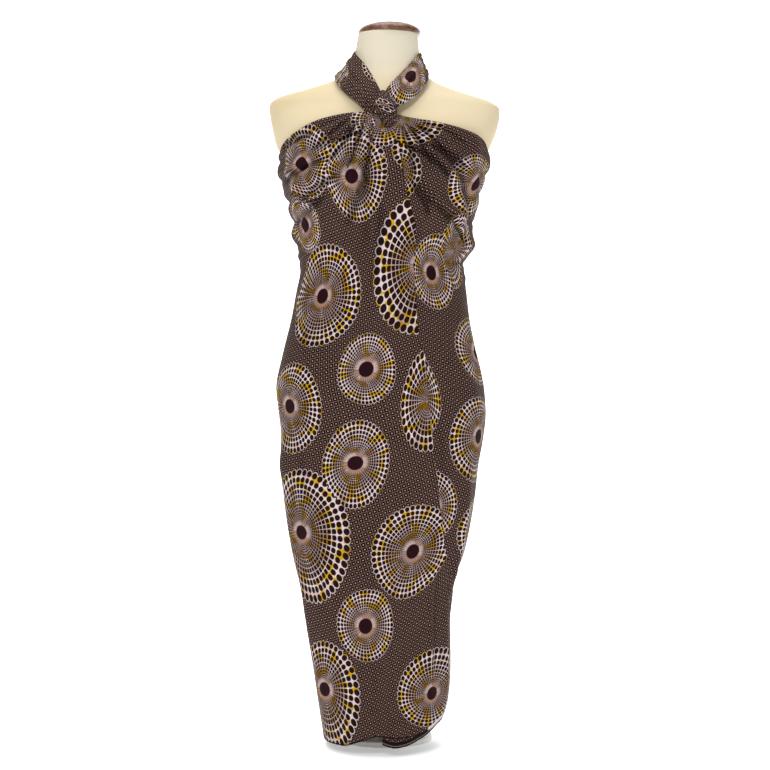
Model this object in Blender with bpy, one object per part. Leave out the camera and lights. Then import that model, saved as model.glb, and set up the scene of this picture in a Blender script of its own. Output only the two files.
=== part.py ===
"""A sarong wrapped as a halter dress, on a limbless dress form with a pole and a base.

Metres, +Z up. The front faces -Y, and +X is the right of someone who looks at the front. The
origin is on the floor, under the middle of the base. A turn is an angle round the body in
degrees: 0 at the middle of the front, 90 at the right side, 180 at the middle of the back and
-90 at the left side.
"""

import math

import bmesh
import bpy
from mathutils import Vector

# Cloth
WALL = 0.0015
SEAM_GAP = 0.0004
LAYER_GAP = 0.0005
TOUCH_GAP = 0.0008

# Where the stretches of cloth meet, in degrees round the body
LEFT_SIDE = -98.0
RIGHT_SIDE = 98.0
HALF_SEAM = 0.1

# How many cells each stretch has across and down
OVER_CELLS = 22
UNDER_CELLS = 13
BACK_CELLS = 15
FRONT_ROWS = 42
BACK_ROWS = 32
CHEST_ROW_SHARE = 0.45
CHEST_HEIGHT_SHARE = 0.25
HIDDEN_SHARE = 0.5

# Where the over panel rises onto the under panel, as shares of its width before the hidden edge
RISE_START = 0.25
RISE_END = 0.04

# Faces that meet at a sharper angle than this keep their edge, in radians
SHARP_ANGLE = 0.9

# Dress form
FORM_BOTTOM = 0.44
FORM_DROP = 0.024
FORM_TUCK = 0.35
FORM_ROUNDING = (30.0, 60.0, 90.0)
NECK_TOP = 1.1685
FORM_AROUND = 32
FORM_BODY_RINGS = 17
FORM_SHOULDERS = (
    0.966, 0.978, 0.986, 1.002, 1.018, 1.032, 1.043, 1.050, 1.057, 1.065,
    1.074, 1.082, 1.090, 1.098, 1.108, 1.120, 1.135, 1.150,
)
CAP_CENTRE = (0.0075, 0.010)
CAP_RADIUS = 0.0515
CAP_RIM = 0.0045
CAP_EDGE = 0.001
CAP_DOME_STEPS = 6
CAP_TOP_SHARE = 0.08
CAP_AROUND = 32
CAP_TOP = 1.1895
STAND_CENTRE = (0.0, 0.035)
POLE_RADIUS = 0.0125
BASE_RADIUS = 0.078
BASE_THICKNESS = 0.010
BASE_EDGE = 0.002
BASE_AROUND = 40
POLE_AROUND = 20

# The figure at each height: its reach to the left, right, front and back of the axis, how square
# its section is, and how far the form lies inside the cloth
# Columns: height, left, right, front, back, square, slack
FIGURE = (
    (0.000, 0.098, 0.092, 0.108, 0.110, 2.20, 0.020),
    (0.057, 0.107, 0.099, 0.108, 0.112, 2.20, 0.020),
    (0.123, 0.117, 0.105, 0.107, 0.113, 2.20, 0.020),
    (0.202, 0.130, 0.104, 0.106, 0.115, 2.25, 0.020),
    (0.255, 0.138, 0.109, 0.106, 0.117, 2.25, 0.020),
    (0.321, 0.153, 0.131, 0.108, 0.121, 2.30, 0.020),
    (0.400, 0.165, 0.146, 0.112, 0.127, 2.35, 0.016),
    (0.460, 0.170, 0.153, 0.116, 0.132, 2.40, 0.010),
    (0.506, 0.170, 0.161, 0.119, 0.136, 2.40, 0.004),
    (0.545, 0.174, 0.165, 0.122, 0.139, 2.40, 0.0036),
    (0.585, 0.178, 0.160, 0.124, 0.138, 2.40, 0.0040),
    (0.638, 0.168, 0.150, 0.122, 0.127, 2.35, 0.0034),
    (0.700, 0.153, 0.138, 0.115, 0.107, 2.30, 0.003),
    (0.743, 0.145, 0.133, 0.107, 0.095, 2.30, 0.003),
    (0.783, 0.138, 0.129, 0.104, 0.088, 2.30, 0.0025),
    (0.836, 0.144, 0.140, 0.113, 0.091, 2.35, 0.004),
    (0.889, 0.157, 0.150, 0.126, 0.098, 2.45, 0.0028),
    (0.930, 0.170, 0.163, 0.130, 0.102, 2.50, 0.0024),
    (0.966, 0.1735, 0.1690, 0.121, 0.100, 2.50, 0.0026),
    (0.984, 0.1820, 0.1770, 0.1130, 0.096, 2.50, 0.0026),
    (1.010, 0.1875, 0.1865, 0.1000, 0.090, 2.50, 0.0020),
    (1.032, 0.1910, 0.1905, 0.0860, 0.083, 2.45, 0.0016),
    (1.043, 0.1920, 0.1900, 0.0795, 0.079, 2.40, 0.0012),
    (1.053, 0.1890, 0.1780, 0.0735, 0.076, 2.40, 0.0),
    (1.061, 0.1790, 0.1570, 0.0690, 0.073, 2.35, 0.0),
    (1.073, 0.1390, 0.1190, 0.0625, 0.069, 2.30, 0.0),
    (1.087, 0.0940, 0.0860, 0.0555, 0.065, 2.20, 0.0),
    (1.097, 0.0715, 0.0720, 0.0515, 0.064, 2.10, 0.0),
    (1.110, 0.0590, 0.0640, 0.0470, 0.064, 2.00, 0.0),
    (1.130, 0.0520, 0.0580, 0.0430, 0.065, 2.00, 0.0),
    (1.150, 0.0475, 0.0555, 0.0400, 0.063, 2.00, 0.0),
    (1.170, 0.0440, 0.0540, 0.0385, 0.0585, 2.00, 0.0),
)

# The two cups of the form: place on the front, reach and depth
CUPS = (
    {"across": -0.078, "height": 0.925, "wide": 0.046, "tall": 0.048, "deep": 0.012},
    {"across": 0.074, "height": 0.925, "wide": 0.046, "tall": 0.048, "deep": 0.012},
)

# The cloth's upper edge
# Columns: turn, height
TOP_EDGE = (
    (-180.0, 0.945),
    (-140.0, 0.950),
    (-98.0, 0.957),
    (-75.0, 0.967),
    (-50.0, 0.989),
    (-25.0, 1.016),
    (-8.0, 1.025),
    (0.0, 1.024),
    (8.0, 1.016),
    (25.0, 1.006),
    (50.0, 0.990),
    (75.0, 0.969),
    (98.0, 0.956),
    (140.0, 0.950),
    (180.0, 0.945),
)

# The hems of the outer layer, of the layer under it and of the back
# Columns: turn, height
OVER_HEM = (
    (-98.0, 0.0130),
    (-60.0, 0.0125),
    (-40.0, 0.0130),
    (-20.0, 0.0230),
    (-5.0, 0.0320),
    (8.0, 0.0290),
    (25.0, 0.0310),
    (45.0, 0.0395),
    (60.0, 0.0530),
    (75.0, 0.0660),
    (98.0, 0.0900),
)
UNDER_HEM = (
    (-5.0, 0.0240),
    (0.0, 0.0170),
    (8.0, 0.0135),
    (18.0, 0.0155),
    (32.0, 0.0240),
    (45.0, 0.0330),
    (60.0, 0.0470),
    (75.0, 0.0570),
    (98.0, 0.0660),
)
BACK_HEM = (
    (98.0, 0.0660),
    (118.0, 0.0520),
    (140.0, 0.0380),
    (180.0, 0.0260),
    (220.0, 0.0170),
    (262.0, 0.0130),
)

# The outer layer's free edge
# Columns: height, turn
FREE_EDGE = (
    (0.020, 95.0),
    (0.090, 92.0),
    (0.150, 87.0),
    (0.200, 81.0),
    (0.242, 72.0),
    (0.300, 51.0),
    (0.350, 39.0),
    (0.458, 28.0),
    (0.525, 22.5),
    (0.574, 20.5),
    (0.640, 21.0),
    (0.670, 18.5),
    (0.781, 17.5),
    (0.835, 16.5),
    (0.900, 9.0),
    (0.950, 5.0),
    (1.021, 1.5),
)

# Folds of the cloth: each runs from one turn and height to another, bowed sideways, with its
# half width and its height off the body, which is negative for a trough
# Columns: turn1, height1, turn2, height2, bow, wide, high
FOLDS = (
    # The leading pleats under the crossing
    (1.0, 1.010, 8.0, 0.900, 0.004, 0.010, 0.0080),
    (8.0, 0.900, 17.0, 0.800, 0.003, 0.012, 0.0050),
    (-4.0, 1.005, -9.0, 0.880, -0.003, 0.010, 0.0060),
    (-9.0, 0.900, -13.0, 0.690, 0.000, 0.014, -0.0025),
    # Gathers that fan out over the left of the chest
    (-6.0, 1.008, -28.0, 0.945, -0.004, 0.008, -0.0014),
    (-10.0, 1.012, -52.0, 0.960, 0.004, 0.010, 0.0062),
    (-8.0, 0.995, -70.0, 0.915, 0.006, 0.012, 0.0070),
    (-12.0, 0.975, -84.0, 0.865, 0.008, 0.012, 0.0058),
    (-14.0, 0.950, -92.0, 0.820, 0.010, 0.012, 0.0048),
    # Cloth bunched at the left side
    (-70.0, 0.938, -125.0, 0.948, 0.004, 0.012, 0.0038),
    (-72.0, 0.899, -130.0, 0.918, 0.004, 0.008, 0.0024),
    (-70.0, 0.876, -128.0, 0.880, 0.004, 0.008, 0.0020),
    (-66.0, 0.838, -132.0, 0.846, 0.005, 0.014, 0.0052),
    (-60.0, 0.803, -135.0, 0.806, 0.003, 0.006, 0.0030),
    # Gathers that fan out over the right of the chest
    (8.0, 0.995, 48.0, 0.935, -0.004, 0.008, -0.0014),
    (10.0, 1.000, 60.0, 0.965, 0.004, 0.011, 0.0055),
    (8.0, 0.985, 74.0, 0.885, 0.008, 0.012, 0.0068),
    (9.0, 0.965, 60.0, 0.845, 0.006, 0.012, 0.0058),
    (11.0, 0.945, 46.0, 0.815, 0.004, 0.011, 0.0048),
    # Cloth bunched at the right side
    (66.0, 0.946, 125.0, 0.948, 0.004, 0.014, 0.0046),
    (62.0, 0.880, 130.0, 0.884, 0.005, 0.011, 0.0026),
    (50.0, 0.812, 134.0, 0.816, 0.004, 0.016, 0.0110),
    # Long soft folds of the skirt
    (-20.0, 0.600, -12.0, 0.030, 0.012, 0.022, 0.0055),
    (-3.0, 0.330, -5.0, 0.020, 0.004, 0.014, -0.0035),
    (7.0, 0.420, 9.0, 0.010, -0.004, 0.016, 0.0070),
    (58.0, 0.480, 62.0, 0.020, 0.010, 0.020, 0.0050),
    (-70.0, 0.560, -62.0, 0.010, -0.010, 0.022, 0.0035),
    (30.0, 0.640, 66.0, 0.560, 0.010, 0.016, 0.0035),
    (-86.0, 0.470, -30.0, 0.400, 0.010, 0.020, 0.0035),
    # The back
    (130.0, 0.820, 230.0, 0.812, 0.010, 0.014, 0.0060),
    (140.0, 0.865, 225.0, 0.872, -0.008, 0.013, 0.0050),
    (150.0, 0.775, 215.0, 0.765, 0.008, 0.013, 0.0045),
    (150.0, 0.560, 156.0, 0.020, 0.010, 0.022, 0.0070),
    (186.0, 0.600, 182.0, 0.020, -0.008, 0.024, 0.0070),
    (214.0, 0.540, 208.0, 0.020, 0.008, 0.022, 0.0070),
    (240.0, 0.500, 236.0, 0.020, 0.006, 0.020, 0.0050),
    (118.0, 0.520, 124.0, 0.030, 0.008, 0.020, 0.0045),
)
MAP_RADIUS = 0.15
# A fold starts to rise this share of its length before its end, and is at its full height inside it
FOLD_START = -0.15
FOLD_FULL = 0.25

# Each strap from the crossing to the nape: its upper edge, its lower edge and how far its middle
# stands out between them
# Columns: top x, top y, top z, low x, low y, low z, puff
STRAP_LEFT = (
    (-0.0060, -0.0810, 1.0570, -0.0090, -0.1010, 1.0222, 0.003),
    (-0.0085, -0.0770, 1.0640, -0.0270, -0.0985, 1.0192, 0.004),
    (-0.0120, -0.0730, 1.0710, -0.0370, -0.0955, 1.0335, 0.005),
    (-0.0190, -0.0640, 1.0860, -0.0470, -0.0890, 1.0440, 0.006),
    (-0.0320, -0.0490, 1.1090, -0.0640, -0.0760, 1.0590, 0.006),
    (-0.0490, -0.0250, 1.1330, -0.0790, -0.0560, 1.0790, 0.002),
    (-0.0490, 0.0100, 1.1420, -0.0830, -0.0120, 1.0965, -0.004),
    (-0.0440, 0.0440, 1.1380, -0.0690, 0.0480, 1.0980, -0.003),
    (-0.0182, 0.0775, 1.1250, -0.0182, 0.0825, 1.1040, 0.000),
)
STRAP_RIGHT = (
    (0.0006, -0.0790, 1.0600, 0.0185, -0.1020, 1.0305, 0.003),
    (0.0065, -0.0745, 1.0705, 0.0290, -0.0975, 1.0375, 0.005),
    (0.0200, -0.0630, 1.0870, 0.0460, -0.0860, 1.0500, 0.006),
    (0.0360, -0.0490, 1.1060, 0.0595, -0.0740, 1.0660, 0.005),
    (0.0540, -0.0220, 1.1310, 0.0690, -0.0560, 1.0830, 0.001),
    (0.0585, 0.0150, 1.1400, 0.0715, -0.0050, 1.1020, -0.001),
    (0.0480, 0.0480, 1.1370, 0.0620, 0.0520, 1.1000, 0.000),
    (0.0194, 0.0790, 1.1250, 0.0192, 0.0830, 1.1040, 0.000),
)
STRAP_AXIS_HEIGHT = 1.09
STRAP_GAP = 0.0006
STRAP_ROWS = 18
STRAP_CELLS = 7
STRAP_PLEATS = 3
STRAP_PLEAT_HIGH = 0.0012

# The crossing and the knot, as centres and half sizes from top to bottom
# Columns: height, across, depth, half width, half depth
TWIST = (
    (1.0620, -0.0035, -0.0840, 0.0020, 0.0020),
    (1.0550, -0.0022, -0.0909, 0.0064, 0.0045),
    (1.0460, -0.0008, -0.0988, 0.0113, 0.0068),
    (1.0370, 0.0000, -0.1070, 0.0145, 0.0080),
    (1.0280, 0.0015, -0.1134, 0.0160, 0.0085),
    (1.0200, 0.0030, -0.1170, 0.0145, 0.0085),
    (1.0110, 0.0045, -0.1190, 0.0115, 0.0075),
    (1.0030, 0.0055, -0.1199, 0.0080, 0.0052),
    (0.9960, 0.0060, -0.1204, 0.0040, 0.0025),
)
KNOT = (
    (1.1340, 0.0000, 0.0800, 0.0060, 0.0050),
    (1.1290, 0.0000, 0.0825, 0.0150, 0.0110),
    (1.1200, 0.0000, 0.0850, 0.0190, 0.0150),
    (1.1100, 0.0000, 0.0860, 0.0185, 0.0155),
    (1.1010, 0.0000, 0.0850, 0.0150, 0.0120),
    (1.0960, 0.0000, 0.0835, 0.0060, 0.0050),
)
BUNDLE_AROUND = 20
BUNDLE_FOLDS = 5
BUNDLE_FOLD_SHARE = 0.10

# The two ends below the knot
# Columns: height, across, depth, half width
END_LEFT = (
    (1.0955, -0.0050, 0.0840, 0.0040),
    (1.0700, -0.0150, 0.0830, 0.0140),
    (1.0300, -0.0280, 0.0910, 0.0250),
    (0.9900, -0.0350, 0.1010, 0.0310),
    (0.9550, -0.0390, 0.1090, 0.0230),
    (0.9300, -0.0420, 0.1120, 0.0040),
)
END_RIGHT = (
    (1.0955, 0.0050, 0.0870, 0.0040),
    (1.0680, 0.0170, 0.0850, 0.0140),
    (1.0200, 0.0300, 0.0935, 0.0260),
    (0.9700, 0.0380, 0.1060, 0.0320),
    (0.9350, 0.0430, 0.1115, 0.0220),
    (0.9100, 0.0460, 0.1130, 0.0040),
)
END_ROWS = 14
END_CELLS = 5
END_PLEATS = 2.5
END_PLEAT_HIGH = 0.0025

# Colours, with roughness and metallic value
MATERIALS = {
    "printed_cotton": ((0.085, 0.055, 0.048), 0.85, 0.0),
    "form_jersey": ((0.83, 0.72, 0.47), 0.80, 0.0),
    "turned_wood": ((0.16, 0.055, 0.025), 0.45, 0.0),
    "painted_steel": ((0.80, 0.80, 0.78), 0.40, 0.0),
}


def material(name):
    """A Principled material with one of the colours above."""
    found = bpy.data.materials.get(name)
    if found:
        return found
    colour, roughness, metallic = MATERIALS[name]
    made = bpy.data.materials.new(name)
    made.use_nodes = True
    shader = made.node_tree.nodes["Principled BSDF"]
    shader.inputs["Base Color"].default_value = (*colour, 1.0)
    shader.inputs["Roughness"].default_value = roughness
    shader.inputs["Metallic"].default_value = metallic
    return made


def smooth_row(rows, at):
    """The other columns of a table where its first column is at, on a smooth curve through its rows."""
    if rows[0][0] > rows[-1][0]:
        rows = rows[::-1]
    at = min(max(at, rows[0][0]), rows[-1][0])
    index = 0
    while index < len(rows) - 2 and at > rows[index + 1][0]:
        index += 1
    before = rows[max(index - 1, 0)]
    start = rows[index]
    end = rows[index + 1]
    after = rows[min(index + 2, len(rows) - 1)]
    span = end[0] - start[0]
    t = (at - start[0]) / span
    values = []
    for column in range(1, len(start)):
        slope = (end[column] - start[column]) / span
        slope_in = slope
        slope_out = slope
        if start is not before:
            slope_in = limited(slope, (start[column] - before[column]) / (start[0] - before[0]))
        if end is not after:
            slope_out = limited(slope, (after[column] - end[column]) / (after[0] - end[0]))
        rise = (2 * t**3 - 3 * t**2 + 1) * start[column] + (3 * t**2 - 2 * t**3) * end[column]
        bend = (t**3 - 2 * t**2 + t) * slope_in + (t**3 - t**2) * slope_out
        values.append(rise + bend * span)
    return values


def limited(one, other):
    """The slope where two stretches meet, which is flat at a peak, so that the curve never overshoots."""
    if one * other <= 0:
        return 0.0
    return 2 * one * other / (one + other)


def signed_power(value, power):
    return math.copysign(abs(value) ** power, value)


def figure(height, turn):
    """The point of the figure's surface at a height and a turn, with its outward direction and slack."""
    left, right, front, back, square, slack = smooth_row(FIGURE, height)
    sine = math.sin(math.radians(turn))
    cosine = math.cos(math.radians(turn))
    half = right if sine > 0 else left
    deep = front if cosine > 0 else back
    x = half * signed_power(sine, 2 / square)
    y = -deep * signed_power(cosine, 2 / square)
    out = Vector(
        (
            signed_power(x / half, square - 1) / half,
            signed_power(y / deep, square - 1) / deep,
            0.0,
        )
    ).normalized()
    swell = 0.0
    if cosine > 0:
        for cup in CUPS:
            away = ((x - cup["across"]) / cup["wide"]) ** 2 + ((height - cup["height"]) / cup["tall"]) ** 2
            swell += cup["deep"] * math.exp(-away) * cosine
    return Vector((x, y, height)) + out * swell, out, slack


def relief(height, turn):
    """How far the folds lift the cloth at a height and a turn."""
    total = 0.0
    for turn1, height1, turn2, height2, bow, wide, high in FOLDS:
        for lap in (-360.0, 0.0, 360.0):
            start = Vector((MAP_RADIUS * math.radians(turn1 + lap), height1))
            end = Vector((MAP_RADIUS * math.radians(turn2 + lap), height2))
            here = Vector((MAP_RADIUS * math.radians(turn), height))
            along = end - start
            reach = along.length
            along /= reach
            share = (here - start).dot(along) / reach
            if share < FOLD_START or share > 1.0 - FOLD_START:
                continue
            aside = along.x * (here - start).y - along.y * (here - start).x
            aside -= bow * math.sin(math.pi * min(max(share, 0.0), 1.0))
            ends = ramp(share, FOLD_START, FOLD_FULL) * ramp(1.0 - share, FOLD_START, FOLD_FULL)
            total += high * ends * math.exp(-((aside / wide) ** 2))
    return total


def ramp(value, low, high):
    """0 below low, 1 above high and smooth between them."""
    share = min(max((value - low) / (high - low), 0.0), 1.0)
    return share * share * (3.0 - 2.0 * share)


def cloth_point(height, turn, lift):
    """A point of the cloth, lift off its inner face, kept clear of the form in its troughs."""
    point, out, slack = figure(height, turn)
    fold = max(relief(height, turn), TOUCH_GAP - slack)
    return point + out * (fold + lift)


def add_mesh(name, points, faces, finish):
    """An object made from points and faces, with its normals outwards."""
    mesh = bpy.data.meshes.new(name)
    mesh.from_pydata(points, [], faces)
    tidy = bmesh.new()
    tidy.from_mesh(mesh)
    bmesh.ops.recalc_face_normals(tidy, faces=tidy.faces)
    tidy.to_mesh(mesh)
    tidy.free()
    mesh.shade_smooth()
    mesh.set_sharp_from_angle(angle=SHARP_ANGLE)
    made = bpy.data.objects.new(name, mesh)
    made.data.materials.append(material(finish))
    bpy.context.scene.collection.objects.link(made)
    return made


def add_wall(name, outer, inner, finish="printed_cotton"):
    """A closed sheet between two grids of points of the same size."""
    rows = len(outer)
    columns = len(outer[0])
    points = [point for row in outer + inner for point in row]
    faces = []

    def at(side, row, column):
        return (side * rows + row) * columns + column

    for row in range(rows - 1):
        for column in range(columns - 1):
            for side in (0, 1):
                corner = at(side, row, column)
                across = at(side, row, column + 1)
                opposite = at(side, row + 1, column + 1)
                below = at(side, row + 1, column)
                faces.append([corner, across, opposite])
                faces.append([corner, opposite, below])
    for row in range(rows - 1):
        for column in (0, columns - 1):
            outer_edge = [at(0, row, column), at(0, row + 1, column)]
            faces.append([*outer_edge, at(1, row + 1, column), at(1, row, column)])
    for column in range(columns - 1):
        for row in (0, rows - 1):
            outer_edge = [at(0, row, column), at(0, row, column + 1)]
            faces.append([*outer_edge, at(1, row, column + 1), at(1, row, column)])
    return add_mesh(name, points, faces, finish)


def add_loft(name, rings, finish):
    """A closed body through rings of points, with both ends filled."""
    around = len(rings[0])
    points = [point for ring in rings for point in ring]
    faces = []
    for row in range(len(rings) - 1):
        for step in range(around):
            here = row * around + step
            beside = row * around + (step + 1) % around
            faces.append([here, beside, beside + around, here + around])
    faces.append(list(range(around)))
    faces.append(list(range((len(rings) - 1) * around, len(rings) * around)))
    return add_mesh(name, points, faces, finish)


def row_share(part):
    """The share of the way down for a share of the rows, which lie closer over the chest."""
    if part <= CHEST_ROW_SHARE:
        return part * CHEST_HEIGHT_SHARE / CHEST_ROW_SHARE
    rest = (part - CHEST_ROW_SHARE) / (1.0 - CHEST_ROW_SHARE)
    return CHEST_HEIGHT_SHARE + (1.0 - CHEST_HEIGHT_SHARE) * rest


def front_grid(turns_at, hem, lift_at, extra_hem=None):
    """Outer and inner points of a front panel, with turns_at for a row's turns and lift_at for its lifts."""
    outer = []
    inner = []
    rows = FRONT_ROWS + (2 if extra_hem else 1)
    for row in range(rows):
        share = row_share(min(row / FRONT_ROWS, 1.0))
        outer_row = []
        inner_row = []
        for column, turn in enumerate(turns_at(share)):
            top = smooth_row(TOP_EDGE, turn)[0]
            bottom = smooth_row(hem, turn)[0]
            height = top + (bottom - top) * share
            if row > FRONT_ROWS:
                height = smooth_row(extra_hem, turn)[0]
            lift = lift_at(column)
            inner_row.append(cloth_point(height, turn, lift))
            outer_row.append(cloth_point(height, turn, lift + WALL))
        outer.append(outer_row)
        inner.append(inner_row)
    return outer, inner


def over_turns(share):
    """The over panel's turns at a share of the way down, from its left seam to its free edge."""
    height = smooth_row(TOP_EDGE, 0.0)[0] * (1.0 - share) + smooth_row(OVER_HEM, 0.0)[0] * share
    edge = smooth_row(FREE_EDGE, height)[0]
    start = LEFT_SIDE + HALF_SEAM
    return [start + (edge - start) * cell / OVER_CELLS for cell in range(OVER_CELLS + 1)]


def under_turns(share):
    """The under panel's turns: the over panel's own ones up to its free edge, then on to the right seam."""
    hidden = over_turns(share)[round(OVER_CELLS * HIDDEN_SHARE):]
    edge = hidden[-1]
    end = RIGHT_SIDE - HALF_SEAM
    edge = min(edge, end - 1.0)
    shown = [edge + (end - edge) * cell / UNDER_CELLS for cell in range(1, UNDER_CELLS + 1)]
    return hidden[:-1] + [edge] + shown


def over_lift(column):
    """The over panel lies on the body at its left seam and on the under panel from its hidden edge on."""
    share = column / OVER_CELLS
    return (WALL + LAYER_GAP) * ramp(share, HIDDEN_SHARE - RISE_START, HIDDEN_SHARE - RISE_END)


def build_panels():
    outer, inner = front_grid(over_turns, OVER_HEM, over_lift)
    add_wall("sarong_over_panel", outer, inner)
    outer, inner = front_grid(under_turns, OVER_HEM, lambda column: 0.0, UNDER_HEM)
    add_wall("sarong_under_panel", outer, inner)


def build_back():
    outer = []
    inner = []
    start = RIGHT_SIDE + HALF_SEAM
    end = 360.0 + LEFT_SIDE - HALF_SEAM
    for row in range(BACK_ROWS + 1):
        outer_row = []
        inner_row = []
        for cell in range(BACK_CELLS + 1):
            turn = start + (end - start) * cell / BACK_CELLS
            top = smooth_row(TOP_EDGE, turn if turn <= 180.0 else turn - 360.0)[0]
            bottom = smooth_row(BACK_HEM, turn)[0]
            height = top + (bottom - top) * row_share(row / BACK_ROWS)
            inner_row.append(cloth_point(height, turn, 0.0))
            outer_row.append(cloth_point(height, turn, WALL))
        outer.append(outer_row)
        inner.append(inner_row)
    add_wall("sarong_back", outer, inner)


def curve_row(rows, share):
    """The columns of a table at a share of the way through its rows."""
    numbered = [(float(index), *row) for index, row in enumerate(rows)]
    return smooth_row(numbered, share * (len(rows) - 1))


def sheet_normals(grid):
    """The direction across a grid of points at each of its points."""
    rows = len(grid)
    columns = len(grid[0])
    normals = []
    for row in range(rows):
        line = []
        for column in range(columns):
            down = grid[min(row + 1, rows - 1)][column] - grid[max(row - 1, 0)][column]
            over = grid[row][min(column + 1, columns - 1)] - grid[row][max(column - 1, 0)]
            line.append(down.cross(over).normalized())
        normals.append(line)
    return normals


def add_ribbon(name, inner, away_from):
    """A strip of cloth from its inner points, as thick as the cloth and facing away from a point."""
    normals = sheet_normals(inner)
    middle = inner[len(inner) // 2][len(inner[0]) // 2]
    facing = normals[len(inner) // 2][len(inner[0]) // 2].dot(middle - away_from)
    side = 1.0 if facing > 0 else -1.0
    outer = []
    for points, directions in zip(inner, normals):
        outer.append([point + way * WALL * side for point, way in zip(points, directions)])
    return add_wall(name, outer, inner)


def seated(point):
    """The point, or the nearest one level with it that is clear of the form."""
    left, right, front, back, square, slack = smooth_row(FIGURE, point.z)
    half = (right if point.x > 0 else left) - slack + STRAP_GAP
    deep = (front if point.y < 0 else back) - slack + STRAP_GAP
    reach = (abs(point.x / half) ** square + abs(point.y / deep) ** square) ** (1 / square)
    if reach >= 1.0:
        return point
    return Vector((point.x / reach, point.y / reach, point.z))


def build_strap(name, rows):
    """A strap from the crossing to the knot, with soft pleats along it."""
    axis = Vector((*CAP_CENTRE, STRAP_AXIS_HEIGHT))
    grid = []
    for row in range(STRAP_ROWS + 1):
        values = curve_row(rows, row / STRAP_ROWS)
        top = Vector(values[0:3])
        low = Vector(values[3:6])
        puff = values[6]
        line = []
        for cell in range(STRAP_CELLS + 1):
            share = cell / STRAP_CELLS
            point = top.lerp(low, share)
            out = Vector((point.x - axis.x, point.y - axis.y, 0.0)).normalized()
            pleat = STRAP_PLEAT_HIGH * math.sin(share * math.pi * STRAP_PLEATS * 2)
            line.append(seated(point + out * (puff + pleat) * math.sin(math.pi * share)))
        grid.append(line)
    add_ribbon(name, grid, axis)


def build_bundle(name, rows):
    """Gathered cloth as one rounded body with folds that run from top to bottom."""
    rings = []
    for height, across, depth, half_width, half_depth in rows:
        ring = []
        for step in range(BUNDLE_AROUND):
            angle = 2 * math.pi * step / BUNDLE_AROUND
            swell = 1.0 + BUNDLE_FOLD_SHARE * math.cos(BUNDLE_FOLDS * angle)
            ring.append(
                Vector(
                    (
                        across + half_width * swell * math.cos(angle),
                        depth + half_depth * swell * math.sin(angle),
                        height,
                    )
                )
            )
        rings.append(ring)
    add_loft(name, rings, "printed_cotton")


def build_end(name, rows):
    """One end of the cloth, hanging down the back from the knot."""
    grid = []
    for row in range(END_ROWS + 1):
        height, across, depth, half_width = curve_row(rows, row / END_ROWS)
        line = []
        for cell in range(END_CELLS + 1):
            share = cell / END_CELLS
            pleat = END_PLEAT_HIGH * math.cos(2 * math.pi * END_PLEATS * share)
            line.append(Vector((across + half_width * (2 * share - 1), depth + pleat, height)))
        grid.append(line)
    add_ribbon(name, grid, Vector((0.0, 0.0, 1.0)))


def form_heights():
    """The heights of the form's rings: even down the body and closer round the shoulders and neck."""
    reach = FORM_SHOULDERS[0] - FORM_BOTTOM
    body = [FORM_BOTTOM + reach * step / FORM_BODY_RINGS for step in range(FORM_BODY_RINGS)]
    return [*body, *FORM_SHOULDERS, NECK_TOP]


def build_torso():
    """The padded torso, rounded in at its lower end and flat under the cap."""
    rings = []
    for height in form_heights():
        ring = []
        for step in range(FORM_AROUND):
            point, out, slack = figure(height, 360.0 * step / FORM_AROUND)
            ring.append(point - out * slack)
        rings.append(ring)
    lowest = rings[0]
    for angle in FORM_ROUNDING:
        share = 1.0 - FORM_TUCK * (1.0 - math.cos(math.radians(angle)))
        height = FORM_BOTTOM - FORM_DROP * math.sin(math.radians(angle))
        rings.insert(0, [Vector((point.x * share, point.y * share, height)) for point in lowest])
    add_loft("form_torso", rings, "form_jersey")


def turned(name, profile, centre, steps, finish):
    """A body turned about an upright axis from a profile of radii and heights, bottom to top."""
    rings = []
    for radius, height in profile:
        ring = []
        for step in range(steps):
            angle = 2 * math.pi * step / steps
            x = centre[0] + radius * math.cos(angle)
            y = centre[1] + radius * math.sin(angle)
            ring.append(Vector((x, y, height)))
        rings.append(ring)
    return add_loft(name, rings, finish)


def build_cap():
    """The wooden cap: a small upright rim under a low dome."""
    bottom = NECK_TOP + SEAM_GAP
    rim_top = bottom + CAP_RIM
    profile = [(CAP_RADIUS - CAP_EDGE, bottom), (CAP_RADIUS, bottom + CAP_EDGE), (CAP_RADIUS, rim_top)]
    for step in range(1, CAP_DOME_STEPS):
        angle = math.radians(90.0 * step / CAP_DOME_STEPS)
        profile.append((CAP_RADIUS * math.cos(angle), rim_top + (CAP_TOP - rim_top) * math.sin(angle)))
    profile.append((CAP_RADIUS * CAP_TOP_SHARE, CAP_TOP))
    turned("form_cap", profile, CAP_CENTRE, CAP_AROUND, "turned_wood")


def build_stand():
    """A pole from the torso's flat underside down to a round plate that stands on the floor."""
    plate = [
        (BASE_RADIUS, 0.0),
        (BASE_RADIUS, BASE_THICKNESS - BASE_EDGE),
        (BASE_RADIUS - BASE_EDGE, BASE_THICKNESS),
    ]
    turned("form_base", plate, STAND_CENTRE, BASE_AROUND, "painted_steel")
    torso_underside = FORM_BOTTOM - FORM_DROP
    pole = [(POLE_RADIUS, BASE_THICKNESS + SEAM_GAP), (POLE_RADIUS, torso_underside - SEAM_GAP)]
    turned("form_pole", pole, STAND_CENTRE, POLE_AROUND, "painted_steel")


for old in list(bpy.data.objects):
    bpy.data.objects.remove(old, do_unlink=True)

build_torso()
build_cap()
build_stand()
build_panels()
build_back()
build_strap("sarong_strap_left", STRAP_LEFT)
build_strap("sarong_strap_right", STRAP_RIGHT)
build_bundle("sarong_twist", TWIST)
build_bundle("sarong_knot", KNOT)
build_end("sarong_end_left", END_LEFT)
build_end("sarong_end_right", END_RIGHT)
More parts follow.
